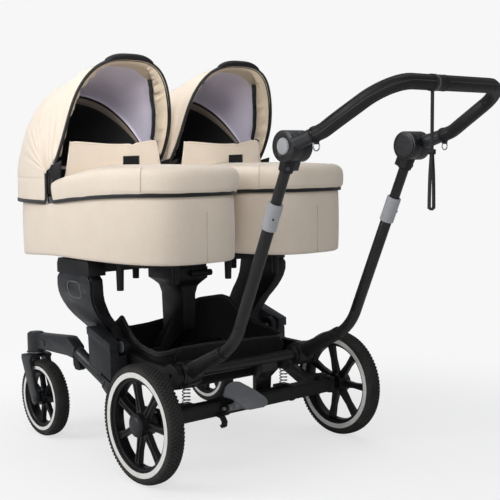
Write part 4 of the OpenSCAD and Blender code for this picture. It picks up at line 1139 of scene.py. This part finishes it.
def facingPoint(cx, a, share, seed, lift=0.0):
    f = facingSet
    u = abs(math.sin(a)) ** (2 / mouthSet["power"])
    wide = lerp(f["sides"], f["crown"], clamp((u - 0.72) / 0.25) ** 1.5) * lerp(0.55, 1.0, clamp(u / 0.35))
    wide *= 1 + 0.06 * noise.noise(Vector((a * 5, 3.0, seed)))
    loose = (1 - max(0, 1 - share) ** 2.5) * (1 - 0.92 * clamp((share - 0.62) / 0.38) ** 1.3)
    ruffle = f["ruffle"] * noise.noise(Vector((a * 12, share * 0.8, seed + 5)))
    ruffle += f["small"] * noise.noise(Vector((a * 27, share * 1.2, seed + 9)))
    fold = loose * ruffle * lerp(1.0, 0.45, clamp((u - 0.9) / 0.1))
    theta = 112.5 - math.degrees(wide * share / (f["reach"] * max(u, 0.3)))
    depth = f["depth"] * (1 - max(0, 1 - share) ** 4) * lerp(1.0, 0.6, clamp((u - 0.85) / 0.15))
    return hoodPoint(cx, theta, a, 3.2 + depth + max(-9, fold) - lift)


def makeFacing(side, cx, seed):
    arc = acrossHood(4, 172, 230)
    rows = [[facingPoint(cx, a, k / 9, seed) for a in arc] for k in range(10)]
    facing = gridPiece(f"mouth.facing.{side}", rows, ["facing"])
    turnFaces(facing, lambda p: -hoodOutward(p))
    soften(facing)
    addThickness(facing, 0.0014, offset=0)
    blendHood(facing)
    def flatBand(name, path, halfUp, halfOut, square):
        outs = [(Vector((cx * 0.001, p.y, 0.84)) - p).normalized() for p in path]
        return bandPiece(name, path, outs, halfUp, halfOut, "binding", sidesCount=8, square=square)

    # Gathered elastic along the free edge of each side, and a short sewn tab low on the facing
    for end, lo, hi, tabAt in (("low", 14, 60, 10.5), ("high", 120, 166, 169.5)):
        path = [facingPoint(cx, a, 1.1, seed, lift=-5.0) for a in acrossHood(lo, hi - lo, 60)]
        elastic = flatBand(f"mouth.elastic.{end}.{side}", path, facingSet["elastic"] * 0.0005, 0.0011, 0.5)
        blendHood(elastic)
        path = [facingPoint(cx, a, 0.62, seed, lift=-2.5) for a in acrossHood(tabAt - 1.6, 3.2, 4)]
        blendHood(flatBand(f"mouth.tab.{end}.{side}", path, 0.010, 0.0014, 0.4))


# The bow lies inside the mouth seam and carries the moulded grip
gripSet = {"halfSpan": 80, "height": 15, "depth": 21, "steps": 40, "ring": 20}


def makeBow(side, cx):
    arc = acrossHood(1.2, 177.6, 96)
    path = [hoodPoint(cx, 111.9, a, 4.6) for a in arc]
    outs = [Vector((math.cos(a), 0, 0)) + mouthAlong * abs(math.sin(a)) for a in arc]
    strip = bandPiece(f"hood.bow.strip.{side}", path, outs, 0.0032, 0.0022, "blackPlastic", sidesCount=8)
    blendHood(strip)
    g = gripSet
    steps, ring = g["steps"], g["ring"]
    verts = []
    for i in range(steps + 1):
        s = 2 * i / steps - 1
        x = g["halfSpan"] * s
        across = spow(x / (hoodSet["width"] - mouthSet["narrow"]), mouthSet["power"] / 2)
        seat = hoodPoint(cx, hoodSet["mouth"], math.acos(clamp(across, -1, 1)))
        full = (1 - abs(s) ** 3.2) ** 0.5 if abs(s) < 1 else 0
        tall = g["height"] * 0.001 * (0.24 + 0.76 * full)
        deep = g["depth"] * 0.001 * (0.42 + 0.58 * full)
        for k in range(ring):
            t = 2 * math.pi * k / ring
            up = spow(math.sin(t), 0.72)
            rise = (0.5 + 0.5 * up) * tall - 0.004
            back = spow(math.cos(t), 0.6) * deep * (0.5 - 0.11 * max(up, 0)) + deep * 0.18
            verts.append(seat + mouthAlong * rise + mouthCross * back)
    faces = gridFaces(steps + 1, ring, True) + [tuple(range(ring)), tuple(range(steps * ring, (steps + 1) * ring))]
    grip = fixNormals(newPiece("grip", verts, faces, ["blackPlastic"], [(v.x, v.z) for v in verts]))
    grip.data.set_sharp_from_angle(angle=math.radians(50))
    parts = [grip]
    for sign in (-1, 1):
        x = cx + sign * (hoodSet["width"] - 10)
        path = [mm(x + dx, hoodSet["y"], hoodSet["z"]) for dx in (-4.5, -4, 4, 4.5)]
        parts.append(bandPiece("pivot", path, [Vector((0, 0, 1))] * 4, 0.013, 0.013, "blackPlastic", sidesCount=32,
                               square=1.0))
    bow = joinPieces(f"hood.bow.{side}", parts)
    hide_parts(f"hood_bow_{side}")
    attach(bow, f"hood_bow_{side}")


# Black cloth closing the corner between the hood and the apron
def makeGusset(side, cx):
    for end, sign in (("left", -1), ("right", 1)):
        rows = []
        for j in range(9):
            v = j / 8
            row = []
            for i in range(9):
                u = i / 8
                y = lerp(lerp(352, 330, v), lerp(412, 404, v), u)
                z = lerp(728, lerp(822, 806, u), v)
                x = cx + sign * (179.5 - 2.2 * math.sin(u * math.pi) + 1.2 * math.sin(v * 9 + u * 4))
                row.append(mm(x, y, z))
            rows.append(row)
        gusset = gridPiece(f"hinge.gusset.{end}.{side}", rows, ["basketCloth"])
        addThickness(gusset, 0.0014, offset=0)
        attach(gusset, f"cot_{side}")


for side, sign in sides.items():
    makeHood(side)
    makeFacing(side, sign * cot["x"], 3.0 + sign)
    makeBow(side, sign * cot["x"])
    makeGusset(side, sign * cot["x"])
print("hoods made")

# Mattress, swollen by a short cloth run; mm but for the voxel and the cap on the swelling, in metres
mattressSet = {"off": -22, "low": 16.8, "high": 47, "pressure": 3.5, "voxel": 0.008, "cap": 0.006}


def makeMattress():
    m = mattressSet
    angles = planAngles(97)[:-1]
    rows = []
    off, low, high = m["off"], m["low"], m["high"]
    for out, z in [(off - 40, low + 2), (off - 6, low + 2), (off, low + 6), (off, high - 6), (off - 6, high - 2),
                   (off - 40, high - 1)]:
        rows.append([mm(*cotPlan(a, out), cot["bottom"] + z) for a in angles])
    pad = gridPiece("mattress", rows, ["mattressCloth"], closed=True)
    capRings(pad, len(angles))
    remesh = pad.modifiers.new("even", "REMESH")
    remesh.mode = "VOXEL"
    remesh.voxel_size = m["voxel"]
    freeze(pad)
    rest = [v.co.copy() for v in pad.data.vertices]
    cloth = pad.modifiers.new("swell", "CLOTH")
    cloth.settings.use_pressure = True
    cloth.settings.uniform_pressure_force = m["pressure"]
    cloth.settings.effector_weights.gravity = 0
    cloth.settings.quality = 4
    for f in range(1, 21):
        scene.frame_set(f)
    freeze(pad)
    scene.frame_set(1)
    floor = (cot["bottom"] + m["low"]) * 0.001
    for v, r in zip(pad.data.vertices, rest):
        move = v.co - r
        if move.length > m["cap"]:
            move *= m["cap"] / move.length
        v.co = r + move
        # Quilted channels across the top
        if v.co.z > floor + 0.02:
            v.co.z -= 0.0022 * math.exp(-((((v.co.y * 1000) % 90) - 45) / 5) ** 2)
        v.co.z = max(floor, min(v.co.z, (cot["bottom"] + m["high"] + 3) * 0.001))
    soften(pad)
    pad.data.shade_smooth()
    pad.data.materials.clear()
    pad.data.materials.append(mats["mattressCloth"])
    layer = pad.data.uv_layers.new(name="cloth")
    for loop in pad.data.loops:
        co = pad.data.vertices[loop.vertex_index].co
        layer.data[loop.index].uv = (co.x, co.y)
    return pad


firstPad = makeMattress()
for side, sign in sides.items():
    # The left one is a copy, made before the first is moved to its own side
    pad = firstPad if side == "right" else addObject(f"mattress.{side}", firstPad.data.copy())
    pad.name = f"mattress.{side}"
    pad.data.transform(Matrix.Translation((sign * cot["x"] * 0.001, 0, 0)))
    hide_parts(f"mattress_{side}")
    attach(pad, f"cot_{side}")
print("mattresses made")

# Basket, in mm; the plan goes round its top edge with the edge's height at each point
basketSet = {"floor": 196, "middle": 262, "rounding": 2}
basketPlan = [(224, 200, 322), (224, 140, 312), (224, 112, 306), (214, 96, 304), (180, 80, 306), (90, 78, 311),
              (0, 78, 314), (-90, 78, 318),
              (-180, 80, 316), (-214, 96, 308), (-224, 112, 305), (-224, 154, 309), (-224, 195, 317), (-224, 229, 334), (-224, 252, 360),
              (-224, 282, 390), (-224, 315, 364), (-224, 360, 358), (-224, 410, 362), (-214, 452, 360), (-190, 470, 356), (-140, 476, 332),
              (-70, 478, 313), (0, 478, 316), (70, 478, 324), (140, 476, 352), (190, 470, 376), (214, 452, 380), (224, 390, 392),
              (224, 350, 387), (224, 302, 352), (224, 250, 336)]


def basketLine():
    count = 260
    pts = [Vector(p) for p in basketPlan]
    out = []
    n = len(pts)
    run = [0.0]
    for i in range(n):
        run.append(run[-1] + (pts[(i + 1) % n] - pts[i]).xy.length)
    for k in range(count):
        want = run[-1] * k / count
        i = max(j for j in range(n) if run[j] <= want)
        t = (want - run[i]) / (run[i + 1] - run[i])
        out.append(pts[i].lerp(pts[(i + 1) % n], t))
    # Light rounding of the corners and of the drawn-up peaks
    for _ in range(basketSet["rounding"]):
        out = [(out[k - 1] + out[k] * 2 + out[(k + 1) % count]) / 4 for k in range(count)]
    return out


def makeBasket():
    line = basketLine()
    levels = [(26, 0, 0), (12, 3, 0), (5, 8, 0), (1.2, 16, 0)]
    levels += [(0, 26, mix) for mix in (0, 0.15, 0.3, 0.5, 0.7, 0.85, 0.93, 1.0)]
    rows = []
    for inset, z, mix in levels:
        row = []
        for k, p in enumerate(line):
            q = Vector((p.x, p.y - basketSet["middle"]))
            s = 1 - inset / q.length
            height = lerp(basketSet["floor"] + z, p.z, mix)
            sag = 0.0
            if z > 4:
                sag = -2.6 * math.sin(clamp(mix) * math.pi) * (0.6 + 0.4 * math.sin(k * 0.19))
                sag += 1.6 * wobble((p.x, p.y, height), 0.02, 4.0)
                sag += 1.1 * wobble((p.x, p.y, 0), 0.07, 6.0) * (0.3 + mix)
                sag = min(sag, 0.6)
            n = q.normalized()
            row.append(mm(p.x * s + n.x * sag, basketSet["middle"] + q.y * s + n.y * sag, height))
        rows.append(row)
    # The floor, one row inside the other
    middle, inner = basketSet["middle"], []
    for f in (0.02, 0.35, 0.7):
        height = basketSet["floor"] - 1.2 * (1 - f)
        inner.append([mm(v.x * 1000 * f, (v.y * 1000 - rearAxleY - middle) * f + middle, height) for v in rows[0]])
    basket = gridPiece("basket.cloth", inner + rows, ["basketCloth"], closed=True)
    fixNormals(basket)
    mid = Vector((0, 0.24, 0.3))
    turnFaces(basket, lambda p: (p.center - mid).dot(p.normal))
    addThickness(basket, 0.0022)
    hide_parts("basket")
    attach(basket, "chassis")
    # Folded hem along the top edge, with its stitches
    top = rows[-1]
    outs = [Vector((v.x, v.y - 0.24, 0)).normalized() for v in top]
    hemPath = [v + Vector((0, 0, -0.005)) - o * 0.001 for v, o in zip(top, outs)]
    hem = bandPiece("basket.hem", hemPath, outs, 0.0062, 0.0019, "basketHem", closed=True)
    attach(hem, "chassis")
    for k, shift in enumerate((-0.0092, -0.0022)):
        run = [v + Vector((0, 0, shift)) + o * 0.0009 for v, o in zip(top, outs)]
        sewn = stitches(f"basket.stitches.{k}", run + [run[0]], "darkThread", Spacing=0.0055, Stitch=0.0034,
                        Thread=0.0004)
        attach(sewn, "chassis")
    # Padded panel across the back, puckered along its length
    centres, sizes = [], []
    for k in range(61):
        x = lerp(-192, 200, k / 60)
        edge = min(1.0, min(k, 60 - k) / 3)
        centres.append(mm(x, 76.5 + 0.8 * noise.noise(Vector((x * 0.03, 2, 1))), lerp(291, 279, k / 60)))
        puff = 0.8 + 0.2 * noise.noise(Vector((x * 0.05, 7, 1))) + 0.12 * math.sin(x * 0.19)
        sizes.append((0.001 * (8 + 17 * edge), 0.001 * (2 + 4.6 * edge * puff)))
    pad = loftPiece("basket.back.panel", centres, [Vector((0, -1, 0.001))] * len(centres), sizes, "basketCloth",
                    count=24, square=0.7)
    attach(pad, "chassis")


makeBasket()
print("basket made")

# Wrist strap: its place on the bar and its heights in mm, its half sizes in metres
strapSet = {"x": -64, "y": -690, "bar": 985, "low": 712, "knot": 838, "halfWidth": 0.005, "halfThick": 0.0009}


def smoothPath(points, steps=6):
    out = []
    for i in range(len(points) - 1):
        p0, p1, p2 = points[max(0, i - 1)], points[i], points[i + 1]
        p3 = points[min(len(points) - 1, i + 2)]
        for k in range(steps):
            t = k / steps
            square = (2 * p0 - 5 * p1 + 4 * p2 - p3) * t * t
            out.append(0.5 * (2 * p1 + (p2 - p0) * t + square + (3 * p1 - p0 - 3 * p2 + p3) * t ** 3))
    return out + [points[-1]]


def makeStrap():
    x, y = strapSet["x"], strapSet["y"]
    low, knot = strapSet["low"], strapSet["knot"]
    ring = bandPiece("strap.ring", [mm(x + dx, y, strapSet["bar"]) for dx in (-7, 0, 7)], [Vector((0, 0, 1))] * 3,
                     0.0186, 0.0186, "strapWeb", sidesCount=40, square=1.0)
    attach(ring, "handlebar")
    drop = [mm(x, y, z) for z in (967.5, 955, 930, 900, 870, 845, 834)]
    down = [(1.2, knot + 4), (2.5, knot - 14), (5.5, 790), (7, 750), (7.5, 718), (6, low + 6)]
    loop = [mm(x - dx, y, z) for dx, z in down] + [mm(x, y, low + 1)] + [mm(x + dx, y, z) for dx, z in down[::-1]]
    path = smoothPath(drop + loop, 5)
    strap = bandPiece("wrist.strap.cord", path, [Vector((1, 0, 0.001))] * len(path), strapSet["halfWidth"],
                      strapSet["halfThick"], "strapWeb", sidesCount=8, square=0.4)
    slider = bandPiece("strap.slider", [mm(x, y + dy, knot) for dy in (-7.5, -6.5, 6.5, 7.5)],
                       [Vector((1, 0, 0))] * 4, 0.0058, 0.0042, "blackPlastic", sidesCount=16, square=0.5)
    for piece in (strap, slider):
        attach(piece, "handlebar")
    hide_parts("wrist_strap")


makeStrap()

# Handle: mm and degrees; "arm" runs from the hub to the bend and "bend" is the bend's reach along it and its radius
handleSet = {"lean": 0.08, "x": 220, "tubeX": 205, "hub": (-404, 853), "armSlope": 16, "riseSlope": 29.96, "arm": 118,
             "bend": (11.02, 90), "rise": 199.2, "corner": 78, "barZ": 985, "barY": -690, "gripRadius": 16.5,
             "collar": (88, 97)}
# The way down the handle's tubes, and the way square to it at the back
tubeDown = Vector((0, 0.4003, -0.9164))
tubeBack = Vector((0, -0.9164, -0.4003))


def armPoint(sign, s):
    h = handleSet
    t = math.radians(h["armSlope"])
    return mm(sign * h["x"], h["hub"][0] - s * math.cos(t), h["hub"][1] + s * math.sin(t))


# Middle line of the leather from the collar to the centre of the bar, with its plane's normal
def barLine(sign):
    h = handleSet
    a0, a1 = math.radians(h["armSlope"]), math.radians(h["riseSlope"])
    spots = []
    for s in (97, 101, 104.5):
        spots.append((armPoint(sign, s), a0))
    bendReach, bendRadius = h["bend"]
    corner, start = armPoint(sign, h["arm"]), armPoint(sign, h["arm"] - bendReach)
    for k in range(7):
        t = (a1 - a0) * k / 6
        along = Vector((0, -math.cos(a0), math.sin(a0)))
        up = Vector((0, math.sin(a0), math.cos(a0)))
        spots.append((start + (along * math.sin(t) + up * (1 - math.cos(t))) * bendRadius * 0.001, a0 + t))
    riseWay = Vector((0, -math.cos(a1), math.sin(a1)))
    for k in range(1, 9):
        spots.append((corner + riseWay * lerp(bendReach, h["rise"] - h["corner"], k / 8) * 0.001, a1))
    turnAt = corner + riseWay * (h["rise"] - h["corner"]) * 0.001
    inward = Vector((-sign, 0, 0))
    for k in range(1, 13):
        t = math.pi / 2 * k / 12
        spots.append((turnAt + (riseWay * math.sin(t) + inward * (1 - math.cos(t))) * h["corner"] * 0.001, a1))
    for k in range(1, 9):
        spots.append((mm(sign * lerp(h["x"] - h["corner"], 0, k / 8), h["barY"], h["barZ"]), a1))
    points = [q[0] for q in spots]
    normals = [Vector((0, math.sin(q[1]), math.cos(q[1]))) for q in spots]
    return points, normals


# In the photo the two arms lean in towards the grip
def leanIn(obj):
    for v in obj.data.vertices:
        t = clamp((-0.527 - v.co.y) / 0.17)
        v.co.x *= 1 - handleSet["lean"] * t * t * (3 - 2 * t)
    return obj


def makeHandleDetails():
    h = handleSet
    for side, sign in sides.items():
        points, normals = barLine(sign)
        aside, up = Vector((sign, 0, 0)), Vector((0, 0, 1))

        def onArm(s):
            return armPoint(sign, s)

        # Casting between the tilt hub and the leather, with its collar
        c0, c1 = h["collar"]
        stations = [(30, 17.4), (40, 17.2), (56, 16.2), (72, 15.8), (86, 15.8), (c0, 15.8)]
        casting = turnedPiece("casting", onArm, aside, stations, "armMetal", square=0.86)
        stations = [(c0 - 1, 16.2), (c0, 17.8), (c0 + 1.2, 18.4), (c1 - 3.4, 18.4), (c1 - 3, 17.2), (c1 - 2.4, 17.2),
                    (c1 - 2, 18.2), (c1, 17.6), (c1 + 0.6, 16.2)]
        collar = turnedPiece("collar", onArm, aside, stations, "gloss")
        arm = joinPieces(f"handle.casting.{side}", [casting, collar])
        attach(arm, "handlebar")
        stations = [(s, 16.55) for s in (96.5, 99, 102, 105.5)]
        start = turnedPiece(f"leather.end.{side}", onArm, aside, stations, "leather")
        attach(leanIn(start), "handlebar")
        # Raised seams along the leather, coloured paler than the leather as a painted highlight
        for k, deg in enumerate((28, 46, 112, -64, 200)):
            t = math.radians(deg)
            path, outs = [], []
            for i, (p, n) in enumerate(zip(points, normals)):
                way = (points[min(len(points) - 1, i + 1)] - points[max(0, i - 1)]).normalized()
                outer = way.cross(n) * (-sign)
                if outer.dot(aside) < 0 and i < 14:
                    outer = -outer
                d = n * math.cos(t) + outer * math.sin(t)
                path.append(p + d * (h["gripRadius"] + 0.25) * 0.001)
                outs.append(d)
            seam = bandPiece(f"leather.seam.{k}.{side}", path, outs, 0.0013, 0.0008, "paintedHighlightSeam", sidesCount=8,
                             square=0.9)
            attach(leanIn(seam), "handlebar")
        # Casting round the top of the tube, under the hub
        hub = mm(sign * h["tubeX"], *h["hub"])
        stations = [(q, r, r * 0.96) for q, r in
                    [(31, 17.6), (34, 18.0), (44, 17.4), (56, 16.4), (61.5, 16.0), (63, 15.0)]]
        socket = turnedPiece(f"hub.socket.{side}", lambda s: hub + tubeDown * s * 0.001, aside, stations,
                             "blackPlastic", square=0.74)
        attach(socket, "handle_slide")
        # Plate on the hub's inner face
        stations = [(175.6, 31.0), (174.4, 31.0), (173.8, 29.5), (173.6, 24)]
        plate = turnedPiece(f"hub.plate.{side}", lambda x: mm(sign * x, *h["hub"]), up, stations, "capPlastic",
                            count=48)
        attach(plate, "handle_slide")
        # Washer on top of the caster, and the block across its fork
        stations = [(246.6, 26), (247.0, 29), (248.8, 29), (249.2, 26)]
        ring = turnedPiece(f"caster.washer.{side}", lambda z: mm(sign * 312, 618, z), Vector((1, 0, 0)), stations,
                           "chrome", count=48)
        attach(ring, "chassis")
        block = [(599, 233, 19, 1.6), (606, 231.6, 22, 3.2), (622, 227.6, 22, 6.4), (637, 224.4, 21, 9.2),
                 (640, 224.4, 19, 7.6)]
        brace = loftPiece(f"fork.block.{side}", [mm(sign * 312, q[0], q[1]) for q in block],
                          [Vector((1, 0, 0))] * len(block), [(q[2] * 0.001, q[3] * 0.001) for q in block],
                          "blackPlastic", square=0.5)
        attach(brace, nodes[f"fork_{side}"]["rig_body"])
    # Woven cuff over the join in the leather
    x0, x1 = -64, -28
    stations = [(x0, 17.0), (x0 + 0.6, 18.1), (x0 + 3, 18.2), (x0 + 4, 17.7), (x1 - 4, 17.7), (x1 - 3, 18.2),
                (x1 - 0.6, 18.1), (x1, 17.0)]
    cuff = turnedPiece("grip.cuff", lambda x: mm(x, h["barY"], h["barZ"]), up, stations, "leather", count=40)
    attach(leanIn(cuff), "handlebar")
    for name in ("handlebar", "grip_cover"):
        leanIn(dressed[name])


makeHandleDetails()
print("handle details made")


# Oval rim round the bare recess in each side cover, laid on its surface
def makeRecessRims():
    for side, sign in sides.items():
        cover = dressed[f"side_cover_{side}"]
        path, outs = [], []
        for k in range(64):
            t = 2 * math.pi * k / 64
            y = 318 + 33 * spow(math.cos(t), 0.62)
            z = 468 + 23 * spow(math.sin(t), 0.62)
            hit, place, normal, _ = cover.ray_cast(mm(sign * 500, y, z), Vector((-sign, 0, 0)))
            if hit:
                path.append(place + Vector((sign * 0.0001, 0, 0)))
                outs.append(normal if normal.x * sign > 0.3 else Vector((sign, 0, 0)))
        rim = bandPiece(f"recess.rim.{side}", path, outs, 0.0012, 0.0007, "rimLine", sidesCount=8, closed=True)
        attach(rim, "chassis")


makeRecessRims()

# Screws: place, facing and head radius of each, by body
screwRows = {"handlebar": [], "handle_slide": [], "handle": [], "chassis": []}
for side, sign in sides.items():
    for s, radius in ((50, 16.4), (66, 15.8)):
        n = Vector((sign * 0.62, 0.25, 0.74)).normalized()
        screwRows["handlebar"].append((armPoint(sign, s) + n * (radius + 0.1) * 0.001, n, 0.0042))
    n = (tubeBack * 0.85 + Vector((sign * 0.53, 0, 0))).normalized()
    hub = mm(sign * handleSet["tubeX"], *handleSet["hub"])
    screwRows["handle_slide"].append((hub + tubeDown * 0.050 + n * 0.0176, n, 0.0046))
    screwRows["handle"].append((hub + tubeDown * 0.178 + n * 0.0186, n, 0.0028))
    for base, y, z, size in (("front_arm", 558, 282, 0.0045), ("front_arm", 574, 282, 0.0045),
                             ("side_cover", 262, 505, 0.0028), ("side_cover", 380, 505, 0.0028)):
        part = dressed[f"{base}_{side}"]
        hit, place, normal, _ = part.ray_cast(mm(sign * 500, y, z), Vector((-sign, 0, 0)))
        if hit:
            screwRows["chassis"].append((place, normal, size))
for body, spots in screwRows.items():
    for size in sorted({q[2] for q in spots}):
        chosen = [q for q in spots if q[2] == size]
        piece = screws(f"screws.{body}.{round(size * 10000)}", chosen, "screwSteel",
                       **{"Head radius": size, "Head height": size * 0.55, "Socket": size * 0.5})
        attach(piece, body)
print("screws made")

# Floor and light: lamps in watts, the rest are strengths and shares
lightSet = {"key": 69, "fill": 29.5, "hoods": 1.5, "top": 26, "world": 0.3, "floorGlow": 1.18, "floorShare": 0.55,
            "backdrop": 0.93, "floorRadius": 8, "cleanFrom": 0.75, "cleanTo": 2.0}


def makeStage():
    mesh = bpy.data.meshes.new("studioFloor")
    corners, radius = 64, lightSet["floorRadius"]
    turns = [2 * math.pi * k / corners for k in range(corners)]
    ring = [(radius * math.cos(t), radius * math.sin(t), -0.0005) for t in turns]
    mesh.from_pydata(ring, [], [tuple(range(corners))])
    floor = addObject("studioFloor", mesh)
    mat = bpy.data.materials.new("paleFloor")
    mat.use_nodes = True
    tree = mat.node_tree
    tree.nodes.clear()
    out = tree.nodes.new("ShaderNodeOutputMaterial")
    diffuse = addNode(tree, "ShaderNodeBsdfDiffuse", {"Color": (0.82, 0.82, 0.82, 1)})
    # Near the pram the floor keeps its shadow; further out it runs into the backdrop
    away = addNode(tree, "ShaderNodeVectorMath", {0: objectPlace(tree)}, operation="LENGTH")
    far = mapRange(tree, away.outputs["Value"], lightSet["cleanFrom"], lightSet["cleanTo"],
                   interpolation_type="SMOOTHSTEP")
    strength = mapRange(tree, far, 0.0, 1.0, lightSet["floorGlow"], lightSet["backdrop"])
    glow = addNode(tree, "ShaderNodeEmission", {"Color": (1.0, 1.0, 1.0, 1), "Strength": strength})
    path = addNode(tree, "ShaderNodeLightPath")
    shown = mapRange(tree, far, 0.0, 1.0, lightSet["floorShare"], 1.0)
    share = mathNode(tree, "MULTIPLY", path.outputs["Is Camera Ray"], shown)
    mix = addNode(tree, "ShaderNodeMixShader", {0: share, 1: diffuse.outputs[0], 2: glow.outputs[0]})
    tree.links.new(mix.outputs[0], out.inputs[0])
    mesh.materials.append(mat)
    world = bpy.data.worlds.new("studio")
    scene.world = world
    world.use_nodes = True
    tree = world.node_tree
    tree.nodes.clear()
    out = tree.nodes.new("ShaderNodeOutputWorld")
    path = addNode(tree, "ShaderNodeLightPath")
    seen = mathNode(tree, "MAXIMUM", path.outputs["Is Camera Ray"], path.outputs["Is Transmission Ray"])
    light = addNode(tree, "ShaderNodeBackground", {"Color": (0.93, 0.95, 1.0, 1), "Strength": lightSet["world"]})
    back = addNode(tree, "ShaderNodeBackground", {"Color": (1, 1, 1, 1), "Strength": lightSet["backdrop"]})
    mix = addNode(tree, "ShaderNodeMixShader", {0: seen, 1: light.outputs[0], 2: back.outputs[0]})
    tree.links.new(mix.outputs[0], out.inputs[0])


def areaLamp(name, place, target, size, power, spread=180):
    data = bpy.data.lights.new(name, "AREA")
    data.spread = math.radians(spread)
    data.shape = "RECTANGLE"
    data.size, data.size_y = size
    data.energy = power
    lamp = addObject(name, data)
    lamp.location = place
    lamp.rotation_euler = (Vector(target) - Vector(place)).to_track_quat("-Z", "Y").to_euler()


makeStage()
areaLamp("keyLamp", (-3.3, 1.2, 2.1), (0, 0.2, 0.7), (1.9, 1.9), lightSet["key"])
areaLamp("fillLamp", (-1.9, -3.3, 1.9), (0, 0, 0.7), (2.4, 2.0), lightSet["fill"])
areaLamp("hoodLamp", (-0.9, -0.8, 1.7), (0.0, 0.5, 0.95), (0.5, 0.5), lightSet["hoods"], spread=40)
areaLamp("topLamp", (0.4, 0.4, 3.6), (0, 0.1, 0.5), (2.8, 2.8), lightSet["top"])
print("stage and lamps set")
